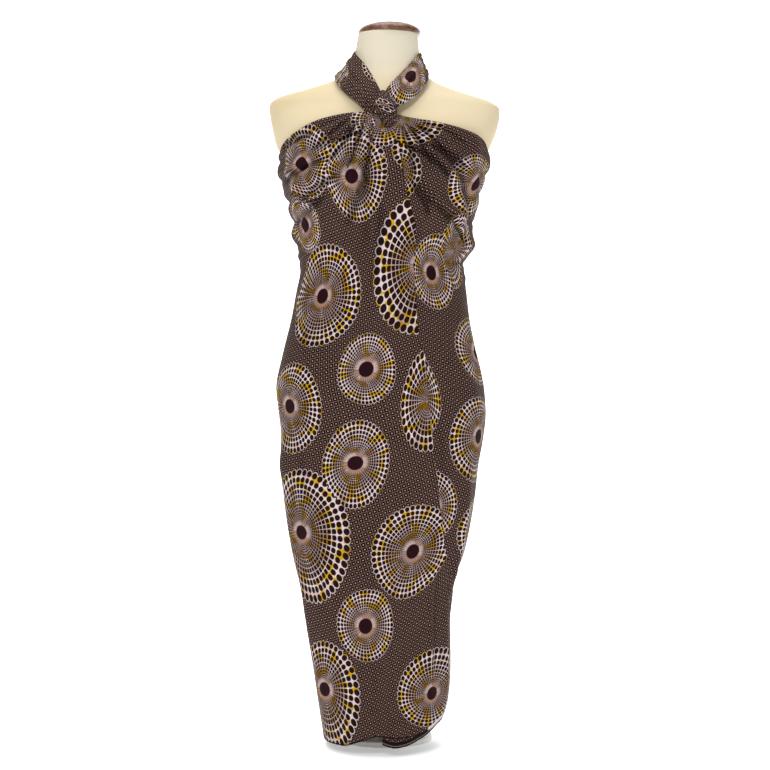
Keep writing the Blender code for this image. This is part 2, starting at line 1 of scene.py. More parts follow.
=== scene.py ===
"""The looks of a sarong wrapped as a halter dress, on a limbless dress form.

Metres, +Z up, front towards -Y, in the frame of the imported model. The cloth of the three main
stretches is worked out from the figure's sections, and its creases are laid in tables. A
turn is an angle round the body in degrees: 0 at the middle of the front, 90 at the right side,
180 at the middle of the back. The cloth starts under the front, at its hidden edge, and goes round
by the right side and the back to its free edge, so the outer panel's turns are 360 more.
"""

import math

import bpy
import numpy as np
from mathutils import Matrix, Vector


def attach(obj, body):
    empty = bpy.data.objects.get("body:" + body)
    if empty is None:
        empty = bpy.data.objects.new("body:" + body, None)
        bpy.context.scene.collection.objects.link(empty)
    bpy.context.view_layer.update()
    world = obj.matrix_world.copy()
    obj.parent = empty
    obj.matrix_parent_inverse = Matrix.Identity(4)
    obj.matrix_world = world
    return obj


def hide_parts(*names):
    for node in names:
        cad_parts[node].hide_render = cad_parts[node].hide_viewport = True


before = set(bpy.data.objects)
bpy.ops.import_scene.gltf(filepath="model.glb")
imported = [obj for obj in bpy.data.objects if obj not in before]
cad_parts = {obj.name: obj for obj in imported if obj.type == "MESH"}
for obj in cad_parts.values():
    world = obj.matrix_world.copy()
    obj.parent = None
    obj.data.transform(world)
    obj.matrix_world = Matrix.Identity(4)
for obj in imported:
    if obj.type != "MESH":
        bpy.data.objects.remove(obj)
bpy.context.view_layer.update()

# Camera: the photograph's frame is square, and one of its 770 pixels is 1.65 mm at the form's axis
CAMERA_DISTANCE = 2.8
CAMERA_HEIGHT = 0.59
FRAME_SIZE = 770 * 0.00165
SENSOR = 36.0

# Cloth: the solid's wall and the gap between layers, and the finer cloth that shows
WALL = 0.0015
LAYER_GAP = 0.0005
CLOTH = 0.0010
CLOTH_INSET = 0.0003
TOUCH_GAP = 0.0008
HEM_WIDTH = 0.006
HEM_SOFT = 0.2
HEM_RISE = 0.0005
# What the map of edges says where no edge is near
FAR_FROM_EDGE = 1.0
# The angle between faces, in radians, from which an edge is drawn sharp
RIM_CREASE = 1.0
RING_CREASE = 0.7

# The cloth is looser over the chest, and looser and more deeply folded over the bust
CHEST_START = 0.76
CHEST_FULL = 0.86
CHEST_LOOSE = 0.0012
BUST_START = 72.0
BUST_FULL = 48.0
BUST_LOOSE = 0.0022
BUST_FOLDS = 0.45

# Turns where the stretches of cloth meet, and shares of the way from the left side to the free
# edge: of the hidden edge, and of where the outer layer rises to pass over it
BACK_MIDDLE = 180.0
LEFT_SIDE = 262.0
RIGHT_SIDE = 98.0
LAST_FREE_EDGE = 97.0
HIDDEN_SHARE = 0.5
RISE_START = 0.25
RISE_END = 0.46

# How many cells of cloth each stretch has, and how its rows are closer over the chest
OVER_CELLS = 150
UNDER_HIDDEN_CELLS = 24
UNDER_CELLS = 90
BACK_CELLS = 96
ROWS = 216
CHEST_ROW_SHARE = 0.45
CHEST_HEIGHT_SHARE = 0.25

# The figure at each height
# Columns: height, left, right, front, back, square, slack
FIGURE = (
    (0.000, 0.098, 0.092, 0.108, 0.110, 2.20, 0.020),
    (0.057, 0.107, 0.099, 0.108, 0.112, 2.20, 0.020),
    (0.123, 0.117, 0.105, 0.107, 0.113, 2.20, 0.020),
    (0.202, 0.130, 0.104, 0.106, 0.115, 2.25, 0.020),
    (0.255, 0.138, 0.109, 0.106, 0.117, 2.25, 0.020),
    (0.321, 0.153, 0.131, 0.108, 0.121, 2.30, 0.020),
    (0.400, 0.165, 0.146, 0.112, 0.127, 2.35, 0.016),
    (0.460, 0.170, 0.153, 0.116, 0.132, 2.40, 0.010),
    (0.506, 0.170, 0.161, 0.119, 0.136, 2.40, 0.004),
    (0.545, 0.174, 0.165, 0.122, 0.139, 2.40, 0.0036),
    (0.585, 0.178, 0.160, 0.124, 0.138, 2.40, 0.0040),
    (0.638, 0.168, 0.150, 0.122, 0.127, 2.35, 0.0034),
    (0.700, 0.153, 0.138, 0.115, 0.107, 2.30, 0.003),
    (0.743, 0.145, 0.133, 0.107, 0.095, 2.30, 0.003),
    (0.783, 0.138, 0.129, 0.104, 0.088, 2.30, 0.0025),
    (0.836, 0.144, 0.140, 0.113, 0.091, 2.35, 0.004),
    (0.889, 0.157, 0.150, 0.126, 0.098, 2.45, 0.0028),
    (0.930, 0.170, 0.163, 0.130, 0.102, 2.50, 0.0024),
    (0.966, 0.1735, 0.1690, 0.121, 0.100, 2.50, 0.0026),
    (0.984, 0.1820, 0.1770, 0.1130, 0.096, 2.50, 0.0026),
    (1.010, 0.1875, 0.1865, 0.1000, 0.090, 2.50, 0.0020),
    (1.032, 0.1910, 0.1905, 0.0860, 0.083, 2.45, 0.0016),
    (1.043, 0.1920, 0.1900, 0.0795, 0.079, 2.40, 0.0012),
    (1.053, 0.1890, 0.1780, 0.0735, 0.076, 2.40, 0.0),
    (1.061, 0.1790, 0.1570, 0.0690, 0.073, 2.35, 0.0),
    (1.073, 0.1390, 0.1190, 0.0625, 0.069, 2.30, 0.0),
    (1.087, 0.0940, 0.0860, 0.0555, 0.065, 2.20, 0.0),
    (1.097, 0.0715, 0.0720, 0.0515, 0.064, 2.10, 0.0),
    (1.110, 0.0590, 0.0640, 0.0470, 0.064, 2.00, 0.0),
    (1.130, 0.0520, 0.0580, 0.0430, 0.065, 2.00, 0.0),
    (1.150, 0.0475, 0.0555, 0.0400, 0.063, 2.00, 0.0),
    (1.170, 0.0440, 0.0540, 0.0385, 0.0585, 2.00, 0.0),
)

# The two cups of the form
# Columns: across, height, wide, tall, deep
CUPS = (
    (-0.078, 0.925, 0.046, 0.048, 0.012),
    (0.074, 0.925, 0.046, 0.048, 0.012),
)

# The cloth's upper edge
# Columns: turn, height
TOP_EDGE = (
    (-180.0, 0.945),
    (-140.0, 0.950),
    (-98.0, 0.957),
    (-75.0, 0.967),
    (-50.0, 0.989),
    (-25.0, 1.016),
    (-8.0, 1.025),
    (0.0, 1.024),
    (8.0, 1.016),
    (25.0, 1.006),
    (50.0, 0.990),
    (75.0, 0.969),
    (98.0, 0.956),
    (140.0, 0.950),
    (180.0, 0.945),
)

# The hems of the outer layer, of the layer under it and of the back
# Columns: turn, height
OVER_HEM = (
    (-98.0, 0.0130),
    (-60.0, 0.0125),
    (-40.0, 0.0130),
    (-20.0, 0.0230),
    (-5.0, 0.0320),
    (8.0, 0.0290),
    (25.0, 0.0310),
    (45.0, 0.0395),
    (60.0, 0.0530),
    (75.0, 0.0660),
    (98.0, 0.0900),
)
UNDER_HEM = (
    (-5.0, 0.0240),
    (0.0, 0.0170),
    (8.0, 0.0135),
    (18.0, 0.0155),
    (32.0, 0.0240),
    (45.0, 0.0330),
    (60.0, 0.0470),
    (75.0, 0.0570),
    (98.0, 0.0660),
)
BACK_HEM = (
    (98.0, 0.0660),
    (118.0, 0.0520),
    (140.0, 0.0380),
    (180.0, 0.0260),
    (220.0, 0.0170),
    (262.0, 0.0130),
)

# The outer layer's free edge
# Columns: height, turn
FREE_EDGE = (
    (0.020, 95.0),
    (0.090, 92.0),
    (0.150, 87.0),
    (0.200, 81.0),
    (0.242, 72.0),
    (0.300, 51.0),
    (0.350, 39.0),
    (0.458, 28.0),
    (0.525, 22.5),
    (0.574, 20.5),
    (0.640, 21.0),
    (0.670, 18.5),
    (0.781, 17.5),
    (0.835, 16.5),
    (0.900, 9.0),
    (0.950, 5.0),
    (1.021, 1.5),
)

# One radius turns degrees round the body into metres, and a fold fades in and out at its ends over
# these shares of its length
MAP_RADIUS = 0.15
FOLD_ENDS = (-0.15, 0.25)
# The main folds, as in the solids, and after them the finer creases
# Columns: turn1, height1, turn2, height2, bow, wide, high
FOLDS = (
    # The leading pleats under the crossing
    (1.0, 1.010, 8.0, 0.900, 0.004, 0.010, 0.0080),
    (8.0, 0.900, 17.0, 0.800, 0.003, 0.012, 0.0050),
    (-4.0, 1.005, -9.0, 0.880, -0.003, 0.010, 0.0060),
    (-9.0, 0.900, -13.0, 0.690, 0.000, 0.014, -0.0025),
    # Gathers that fan out over the left of the chest
    (-6.0, 1.008, -28.0, 0.945, -0.004, 0.008, -0.0014),
    (-10.0, 1.012, -52.0, 0.960, 0.004, 0.010, 0.0062),
    (-8.0, 0.995, -70.0, 0.915, 0.006, 0.012, 0.0070),
    (-12.0, 0.975, -84.0, 0.865, 0.008, 0.012, 0.0058),
    (-14.0, 0.950, -92.0, 0.820, 0.010, 0.012, 0.0048),
    # Cloth bunched at the left side
    (-70.0, 0.938, -125.0, 0.948, 0.004, 0.012, 0.0038),
    (-72.0, 0.899, -130.0, 0.918, 0.004, 0.008, 0.0024),
    (-70.0, 0.876, -128.0, 0.880, 0.004, 0.008, 0.0020),
    (-66.0, 0.838, -132.0, 0.846, 0.005, 0.014, 0.0052),
    (-60.0, 0.803, -135.0, 0.806, 0.003, 0.006, 0.0030),
    # Gathers that fan out over the right of the chest
    (8.0, 0.995, 48.0, 0.935, -0.004, 0.008, -0.0014),
    (10.0, 1.000, 60.0, 0.965, 0.004, 0.011, 0.0055),
    (8.0, 0.985, 74.0, 0.885, 0.008, 0.012, 0.0068),
    (9.0, 0.965, 60.0, 0.845, 0.006, 0.012, 0.0058),
    (11.0, 0.945, 46.0, 0.815, 0.004, 0.011, 0.0048),
    # Cloth bunched at the right side
    (66.0, 0.946, 125.0, 0.948, 0.004, 0.014, 0.0046),
    (62.0, 0.880, 130.0, 0.884, 0.005, 0.011, 0.0026),
    (50.0, 0.812, 134.0, 0.816, 0.004, 0.016, 0.0110),
    # Long soft folds of the skirt
    (-20.0, 0.600, -12.0, 0.030, 0.012, 0.022, 0.0055),
    (-3.0, 0.330, -5.0, 0.020, 0.004, 0.014, -0.0035),
    (7.0, 0.420, 9.0, 0.010, -0.004, 0.016, 0.0070),
    (58.0, 0.480, 62.0, 0.020, 0.010, 0.020, 0.0050),
    (-70.0, 0.560, -62.0, 0.010, -0.010, 0.022, 0.0035),
    (30.0, 0.640, 66.0, 0.560, 0.010, 0.016, 0.0035),
    (-86.0, 0.470, -30.0, 0.400, 0.010, 0.020, 0.0035),
    # The back
    (130.0, 0.820, 230.0, 0.812, 0.010, 0.014, 0.0060),
    (140.0, 0.865, 225.0, 0.872, -0.008, 0.013, 0.0050),
    (150.0, 0.775, 215.0, 0.765, 0.008, 0.013, 0.0045),
    (150.0, 0.560, 156.0, 0.020, 0.010, 0.022, 0.0070),
    (186.0, 0.600, 182.0, 0.020, -0.008, 0.024, 0.0070),
    (214.0, 0.540, 208.0, 0.020, 0.008, 0.022, 0.0070),
    (240.0, 0.500, 236.0, 0.020, 0.006, 0.020, 0.0050),
    (118.0, 0.520, 124.0, 0.030, 0.008, 0.020, 0.0045),
)
CREASES = (
    # Gathers that run down and out from the crossing on the left
    (-1.6, 1.016, -4.0, 0.900, 0.002, 0.0026, 0.0042),
    (-3.0, 1.018, -8.5, 0.890, 0.002, 0.0024, -0.0040),
    (-4.2, 1.018, -12.0, 0.905, 0.002, 0.0026, 0.0040),
    (-5.6, 1.018, -15.5, 0.925, 0.002, 0.0024, -0.0052),
    (-6.6, 1.018, -20.0, 0.925, 0.002, 0.0026, 0.0038),
    (-7.8, 1.018, -25.0, 0.935, 0.003, 0.0026, -0.0050),
    (-9.0, 1.018, -31.0, 0.945, 0.003, 0.0028, 0.0036),
    (-10.0, 1.018, -38.0, 0.955, 0.003, 0.0028, -0.0040),
    (-11.0, 1.019, -45.0, 0.968, 0.003, 0.0028, 0.0030),
    (-11.6, 1.020, -54.0, 0.975, 0.003, 0.0026, -0.0026),
    (-2.4, 0.965, -6.5, 0.800, 0.002, 0.0050, 0.0028),
    (-5.2, 0.950, -11.5, 0.790, 0.002, 0.0050, -0.0026),
    (-8.0, 0.985, -30.0, 0.962, -0.003, 0.0050, -0.0060),
    (-30.0, 0.985, -62.0, 0.972, -0.004, 0.0060, -0.0052),
    (-6.0, 0.930, -20.0, 0.842, 0.004, 0.0060, -0.0046),
    # Drag lines under the bust on the left
    (-18.0, 0.925, -64.0, 0.872, 0.005, 0.0048, -0.0060),
    (-17.0, 0.941, -60.0, 0.897, 0.005, 0.0060, 0.0038),
    (-22.0, 0.950, -70.0, 0.916, 0.004, 0.0045, -0.0046),
    (-28.0, 0.893, -76.0, 0.846, 0.005, 0.0050, -0.0044),
    (-26.0, 0.905, -72.0, 0.864, 0.005, 0.0060, 0.0030),
    (-22.0, 0.868, -66.0, 0.822, 0.005, 0.0065, 0.0028),
    (-1.5, 0.888, -8.0, 0.740, 0.004, 0.0060, -0.0036),
    (-5.0, 0.875, -12.0, 0.730, 0.004, 0.0070, 0.0026),
    # Cloth bunched at the left side
    (-64.0, 0.955, -104.0, 0.960, 0.002, 0.0044, -0.0024),
    (-56.0, 0.918, -104.0, 0.932, 0.003, 0.0044, -0.0028),
    (-58.0, 0.886, -112.0, 0.899, 0.003, 0.0044, -0.0026),
    (-60.0, 0.856, -114.0, 0.864, 0.003, 0.0044, -0.0030),
    (-56.0, 0.820, -116.0, 0.824, 0.002, 0.0036, -0.0018),
    (-48.0, 0.790, -110.0, 0.788, 0.002, 0.0060, 0.0016),
    # Gathers on the right of the crossing
    (2.6, 1.016, 10.0, 0.905, 0.002, 0.0026, 0.0040),
    (3.6, 1.014, 13.0, 0.905, 0.002, 0.0024, -0.0054),
    (4.6, 1.012, 17.0, 0.918, 0.002, 0.0026, 0.0044),
    (5.6, 1.011, 20.5, 0.930, 0.002, 0.0024, -0.0056),
    (6.6, 1.010, 25.0, 0.938, 0.002, 0.0026, 0.0040),
    (7.6, 1.010, 30.0, 0.950, 0.002, 0.0026, -0.0048),
    (8.6, 1.010, 36.0, 0.960, 0.002, 0.0028, 0.0034),
    (9.4, 1.010, 43.0, 0.972, 0.002, 0.0028, -0.0034),
    (10.0, 1.011, 52.0, 0.982, 0.002, 0.0026, 0.0022),
    (7.0, 0.966, 32.0, 0.916, 0.004, 0.0046, -0.0070),
    (6.0, 0.976, 34.0, 0.930, 0.004, 0.0050, 0.0040),
    (10.5, 0.910, 24.0, 0.858, 0.004, 0.0042, -0.0058),
    (10.0, 0.925, 28.0, 0.874, 0.004, 0.0050, 0.0036),
    (14.0, 0.892, 42.0, 0.846, 0.004, 0.0055, -0.0040),
    (36.0, 0.868, 62.0, 0.818, 0.003, 0.0046, -0.0052),
    (32.0, 0.880, 60.0, 0.834, 0.003, 0.0060, 0.0034),
    (12.0, 0.972, 44.0, 0.934, 0.003, 0.0056, -0.0066),
    (20.0, 0.955, 50.0, 0.905, 0.004, 0.0050, -0.0048),
    (44.0, 0.905, 66.0, 0.866, 0.003, 0.0056, -0.0046),
    # Cloth bunched at the right side
    (58.0, 0.930, 112.0, 0.935, 0.003, 0.0044, -0.0026),
    (56.0, 0.900, 112.0, 0.904, 0.003, 0.0044, -0.0024),
    (54.0, 0.850, 112.0, 0.857, 0.003, 0.0042, -0.0024),
    (48.0, 0.786, 110.0, 0.789, 0.002, 0.0046, -0.0030),
    (56.0, 0.760, 100.0, 0.766, 0.002, 0.0060, 0.0018),
    # The skirt
    (41.0, 0.320, 47.0, 0.110, 0.003, 0.0090, -0.0022),
    (36.0, 0.300, 42.0, 0.120, 0.003, 0.0080, 0.0030),
    (24.0, 0.560, 34.0, 0.420, 0.004, 0.0080, -0.0020),
    (60.0, 0.300, 86.0, 0.220, 0.004, 0.0080, 0.0036),
    (56.0, 0.270, 84.0, 0.190, 0.004, 0.0060, -0.0030),
    (62.0, 0.690, 92.0, 0.560, 0.006, 0.0110, 0.0022),
    (-50.0, 0.520, -42.0, 0.240, 0.006, 0.0100, -0.0020),
    (-36.0, 0.300, -30.0, 0.020, 0.004, 0.0100, 0.0020),
    (-80.0, 0.740, -44.0, 0.690, 0.006, 0.0110, 0.0020),
    (-74.0, 0.700, -30.0, 0.640, 0.008, 0.0120, -0.0018),
    # The back
    (112.0, 0.905, 168.0, 0.880, 0.004, 0.0055, 0.0026),
    (248.0, 0.930, 196.0, 0.902, 0.004, 0.0060, 0.0026),
    (116.0, 0.930, 176.0, 0.925, 0.004, 0.0060, -0.0024),
    (244.0, 0.880, 186.0, 0.848, -0.004, 0.0055, -0.0030),
    (122.0, 0.838, 176.0, 0.842, -0.004, 0.0055, -0.0030),
    (126.0, 0.796, 180.0, 0.790, 0.004, 0.0050, 0.0026),
    (236.0, 0.786, 184.0, 0.792, 0.004, 0.0050, 0.0026),
    (134.0, 0.740, 206.0, 0.742, 0.006, 0.0080, -0.0022),
    (168.0, 0.640, 170.0, 0.100, 0.006, 0.0100, -0.0024),
    (200.0, 0.620, 198.0, 0.060, 0.006, 0.0100, -0.0024),
    (226.0, 0.520, 222.0, 0.060, 0.006, 0.0100, -0.0024),
    (134.0, 0.500, 140.0, 0.060, 0.006, 0.0100, -0.0024),
)

# Each strap from the crossing to the nape
# Columns: top x, top y, top z, low x, low y, low z, puff
STRAP_LEFT = (
    (-0.0060, -0.0810, 1.0570, -0.0090, -0.1010, 1.0222, 0.003),
    (-0.0085, -0.0770, 1.0640, -0.0270, -0.0985, 1.0192, 0.004),
    (-0.0120, -0.0730, 1.0710, -0.0370, -0.0955, 1.0335, 0.005),
    (-0.0190, -0.0640, 1.0860, -0.0470, -0.0890, 1.0440, 0.006),
    (-0.0320, -0.0490, 1.1090, -0.0640, -0.0760, 1.0590, 0.006),
    (-0.0490, -0.0250, 1.1330, -0.0790, -0.0560, 1.0790, 0.002),
    (-0.0490, 0.0100, 1.1420, -0.0830, -0.0120, 1.0965, -0.004),
    (-0.0440, 0.0440, 1.1380, -0.0690, 0.0480, 1.0980, -0.003),
    (-0.0182, 0.0775, 1.1250, -0.0182, 0.0825, 1.1040, 0.000),
)
STRAP_RIGHT = (
    (0.0006, -0.0790, 1.0600, 0.0185, -0.1020, 1.0305, 0.003),
    (0.0065, -0.0745, 1.0705, 0.0290, -0.0975, 1.0375, 0.005),
    (0.0200, -0.0630, 1.0870, 0.0460, -0.0860, 1.0500, 0.006),
    (0.0360, -0.0490, 1.1060, 0.0595, -0.0740, 1.0660, 0.005),
    (0.0540, -0.0220, 1.1310, 0.0690, -0.0560, 1.0830, 0.001),
    (0.0585, 0.0150, 1.1400, 0.0715, -0.0050, 1.1020, -0.001),
    (0.0480, 0.0480, 1.1370, 0.0620, 0.0520, 1.1000, 0.000),
    (0.0194, 0.0790, 1.1250, 0.0192, 0.0830, 1.1040, 0.000),
)
STRAP_GAP = 0.0006
STRAP_ALONG = 130
STRAP_ACROSS = 40
STRAP_CLOTH = 0.0011
NECK_HEIGHT = 1.09
# How far the pleats drift across a strap, how much their height swings, and how many radians both
# take from end to end
PLEAT_DRIFT = 0.035
PLEAT_DRIFT_REACH = 5.0
PLEAT_STEADY = 0.75
PLEAT_SWING = 0.45
PLEAT_SWING_REACH = 7.0
PLEAT_SHIFT = 9.0
PLEAT_FADE = 0.35
# Soft pleats along a strap
# Columns: place across, wide, high
STRAP_PLEATS = (
    (0.10, 0.045, 0.0012),
    (0.22, 0.035, -0.0010),
    (0.36, 0.060, 0.0016),
    (0.50, 0.035, -0.0012),
    (0.63, 0.050, 0.0013),
    (0.76, 0.040, -0.0011),
    (0.88, 0.050, 0.0013),
)

# The crossing and the knot, from the top down
# Columns: height, across, depth, half width, half depth
TWIST = (
    (1.0620, -0.0035, -0.0840, 0.0020, 0.0020),
    (1.0550, -0.0022, -0.0909, 0.0064, 0.0045),
    (1.0460, -0.0008, -0.0988, 0.0113, 0.0068),
    (1.0370, 0.0000, -0.1070, 0.0145, 0.0080),
    (1.0280, 0.0015, -0.1134, 0.0160, 0.0085),
    (1.0200, 0.0030, -0.1170, 0.0145, 0.0085),
    (1.0110, 0.0045, -0.1190, 0.0115, 0.0075),
    (1.0030, 0.0055, -0.1199, 0.0080, 0.0052),
    (0.9960, 0.0060, -0.1204, 0.0040, 0.0025),
)
KNOT = (
    (1.1340, 0.0000, 0.0800, 0.0060, 0.0050),
    (1.1290, 0.0000, 0.0825, 0.0150, 0.0110),
    (1.1200, 0.0000, 0.0850, 0.0190, 0.0150),
    (1.1100, 0.0000, 0.0860, 0.0185, 0.0155),
    (1.1010, 0.0000, 0.0850, 0.0150, 0.0120),
    (1.0960, 0.0000, 0.0835, 0.0060, 0.0050),
)
BUNDLE_AROUND = 120
BUNDLE_RINGS = 90
# One radius turns radians round a bundle into metres of print, which climbs as it goes round
BUNDLE_MAP_RADIUS = 0.0125
BUNDLE_LEAN = 0.5
# The shape of a bundle's folds, and how high the fine folds on them are for each one of depth
RIDGE_SHARPNESS = 0.7
RIDGE_MIDDLE = 0.5
FINE_FOLDS = 0.1225
FINE_DRIFT = 1.3

# The two ends below the knot
# Columns: height, across, depth, half width
END_LEFT = (
    (1.0955, -0.0050, 0.0840, 0.0040),
    (1.0700, -0.0150, 0.0830, 0.0140),
    (1.0300, -0.0280, 0.0910, 0.0250),
    (0.9900, -0.0350, 0.1010, 0.0310),
    (0.9550, -0.0390, 0.1090, 0.0230),
    (0.9300, -0.0420, 0.1120, 0.0040),
)
END_RIGHT = (
    (1.0955, 0.0050, 0.0870, 0.0040),
    (1.0680, 0.0170, 0.0850, 0.0140),
    (1.0200, 0.0300, 0.0935, 0.0260),
    (0.9700, 0.0380, 0.1060, 0.0320),
    (0.9350, 0.0430, 0.1115, 0.0220),
    (0.9100, 0.0460, 0.1130, 0.0040),
)
END_ALONG = 90
END_ACROSS = 50
END_PLEATS = 2.5
END_PLEAT_HIGH = 0.0025
END_CREASES = 31.0
END_CREASE_DRIFT = 3.0
END_CREASE_HIGH = 0.0008
END_HEM_WAVES = 6.0
END_HEM_HIGH = 0.002

# Dress form
FORM_BOTTOM = 0.44
FORM_DROP = 0.024
FORM_TUCK = 0.35
NECK_TOP = 1.1685
FORM_AROUND = 160
# Columns: from height, to height, rings
FORM_RINGS = (
    (FORM_BOTTOM, 0.95, 60),
    (0.955, 1.10, 70),
    (1.104, NECK_TOP, 20),
)
# Over which angles, in how many rings, the form's lower end is rounded
FORM_ROUNDING = (90.0, 9.0, 10)
CAP_CENTRE = (0.0075, 0.010)
CAP_RADIUS = 0.0515
CAP_RIM = 0.0045
CAP_BOTTOM = 1.1689
CAP_TOP = 1.1895
CAP_AROUND = 128
CAP_DOME = (0.0, 86.0, 26)
# The bead at the cap's rim
# Columns: inset, rise
CAP_BEAD = (
    (0.0012, 0.0),
    (0.0003, 0.0005),
    (0.0, 0.0016),
    (0.0003, 0.0029),
    (0.0009, 0.0034),
    (0.0010, 0.0040),
)

# How the cloth is laid on the body: how wide it lies for each metre round the body at LAY_HEIGHT,
# and what share of its rows' slope it has there
# Columns: height, spread, slope share
LAY = (
    (0.000, 0.700, 0.30),
    (0.100, 0.760, 0.32),
    (0.200, 0.815, 0.36),
    (0.300, 0.866, 0.42),
    (0.400, 0.908, 0.50),
    (0.500, 0.940, 0.60),
    (0.600, 0.960, 0.71),
    (0.700, 0.970, 0.82),
    (0.800, 0.972, 0.92),
    (0.900, 0.972, 0.98),
    (1.030, 0.970, 1.00),
)
LAY_HEIGHT = 0.55
LAY_STEP = 0.004
# The slope of the cloth's rows, which rise to the front, where both top corners are drawn up
# Columns: way round from the middle of the back, slope
ROW_SLOPE = (
    (-0.62, -0.42),
    (-0.48, -0.42),
    (-0.36, -0.36),
    (-0.24, -0.20),
    (0.00, 0.00),
    (0.24, 0.14),
    (0.36, 0.22),
    (0.48, 0.30),
    (0.62, 0.34),
)
LEAN_SHARE = 0.6

# The print's roundels: the middle of the dark disc, how far the roundel reaches from it to the
# left, right, up and down, how far it leans to the left, how large its disc is, and how many rows
# of dots it has round it
# Columns: turn, height, left, right, up, down, lean, disc, spokes
ROUNDELS = (
    (359.6, 1.012, 0.056, 0.050, 0.050, 0.056, 0.0, 0.0, 40),
    (319.0, 0.939, 0.050, 0.053, 0.070, 0.054, 0.0, 1.0, 46),
    (347.0, 0.917, 0.043, 0.053, 0.074, 0.069, 0.0, 1.0, 46),
    (305.0, 0.847, 0.040, 0.033, 0.045, 0.045, 0.0, 1.0, 44),
    (321.0, 0.732, 0.062, 0.066, 0.086, 0.087, 0.0, 1.0, 48),
    (303.0, 0.556, 0.060, 0.064, 0.070, 0.077, 0.0, 1.0, 46),
    (353.0, 0.615, 0.044, 0.048, 0.061, 0.062, 8.0, 1.0, 48),
    (348.0, 0.467, 0.054, 0.054, 0.067, 0.070, 0.0, 1.0, 48),
    (305.0, 0.353, 0.073, 0.091, 0.104, 0.116, 0.0, 1.0, 48),
    (376.0, 0.326, 0.066, 0.063, 0.078, 0.078, 0.0, 1.0, 48),
    (349.0, 0.208, 0.044, 0.050, 0.060, 0.060, 14.0, 1.0, 46),
    (304.0, 0.100, 0.060, 0.081, 0.079, 0.097, 0.0, 1.0, 40),
    (403.0, 0.096, 0.069, 0.080, 0.069, 0.051, 0.0, 1.0, 46),
    (381.0, 0.781, 0.076, 0.060, 0.105, 0.113, 0.0, 1.0, 40),
    (380.0, 0.566, 0.042, 0.056, 0.079, 0.080, 0.0, 0.0, 34),
    (31.0, 0.769, 0.034, 0.044, 0.062, 0.058, 0.0, 1.0, 44),
    (49.0, 0.807, 0.027, 0.046, 0.060, 0.065, 0.0, 0.0, 40),
    (15.0, 0.574, 0.060, 0.036, 0.079, 0.071, 0.0, 1.0, 42),
    (58.0, 0.913, 0.057, 0.060, 0.049, 0.053, 0.0, 1.0, 46),
    (76.0, 0.644, 0.064, 0.060, 0.058, 0.055, 0.0, 1.0, 44),
    (67.0, 0.507, 0.069, 0.070, 0.066, 0.078, 0.0, 1.0, 46),
    (27.0, 0.399, 0.060, 0.046, 0.058, 0.059, 0.0, 1.0, 40),
    (90.0, 0.351, 0.071, 0.070, 0.060, 0.060, 0.0, 1.0, 44),
    (96.0, 0.262, 0.060, 0.060, 0.050, 0.050, 0.0, 1.0, 44),
    (5.0, 1.012, 0.060, 0.074, 0.050, 0.054, 0.0, 0.0, 36),
    (376.0, 0.965, 0.050, 0.050, 0.056, 0.052, 0.0, 0.0, 32),
    (5.0, 0.925, 0.040, 0.034, 0.048, 0.044, 0.0, 0.0, 26),
    (112.0, 0.815, 0.050, 0.055, 0.062, 0.060, 0.0, 1.0, 46),
    (150.0, 0.905, 0.052, 0.048, 0.060, 0.062, 0.0, 1.0, 46),
    (205.0, 0.890, 0.054, 0.056, 0.070, 0.064, 0.0, 1.0, 48),
    (246.0, 0.800, 0.050, 0.052, 0.064, 0.066, 0.0, 1.0, 44),
    (166.0, 0.742, 0.056, 0.052, 0.072, 0.070, 0.0, 1.0, 46),
    (126.0, 0.640, 0.060, 0.056, 0.074, 0.070, 0.0, 1.0, 48),
    (200.0, 0.610, 0.062, 0.058, 0.072, 0.076, 0.0, 1.0, 48),
    (249.0, 0.620, 0.050, 0.056, 0.066, 0.066, 0.0, 1.0, 44),
    (158.0, 0.480, 0.058, 0.058, 0.070, 0.072, 0.0, 1.0, 46),
    (222.0, 0.430, 0.060, 0.062, 0.078, 0.076, 0.0, 1.0, 46),
    (118.0, 0.450, 0.050, 0.052, 0.062, 0.060, 0.0, 1.0, 44),
    (182.0, 0.320, 0.058, 0.060, 0.072, 0.074, 0.0, 1.0, 48),
    (138.0, 0.270, 0.056, 0.056, 0.070, 0.068, 0.0, 1.0, 46),
    (234.0, 0.230, 0.052, 0.056, 0.064, 0.068, 0.0, 1.0, 46),
    (196.0, 0.150, 0.056, 0.054, 0.064, 0.062, 0.0, 1.0, 44),
    (158.0, 0.100, 0.050, 0.050, 0.060, 0.056, 0.0, 1.0, 44),
    (262.0, 0.180, 0.046, 0.050, 0.060, 0.060, 0.0, 1.0, 40),
)
# How close to a stretch of cloth, in degrees, a roundel has to be to show on it, and where the outer
# layer ends for this over most of its height
ROUNDEL_REACH = 40.0
OVER_LAST = 380.0
# What a point has before its first roundel: a reach past any, and a disc and half sizes
FAR_AWAY = 9.0
PLAIN_DISC = (0.0, 0.0, 46.0)
PLAIN_HALF = (0.05, 0.05)
# The steps, in degrees and metres, that measure how the print is stretched round a roundel
ROUNDEL_TURN_STEP = 3.0
ROUNDEL_HEIGHT_STEP = 0.006

# Where the straps, bundles and ends lie in the print's own coordinates, and the roundels there
STRAP_LEFT_PRINT = (3.0, 3.0)
STRAP_RIGHT_PRINT = (3.0, 3.5)
TWIST_PRINT = (5.0, 3.0)
KNOT_PRINT = (6.0, 3.0)
END_LEFT_PRINT = (3.0, 3.96)
END_RIGHT_PRINT = (3.0, 4.46)
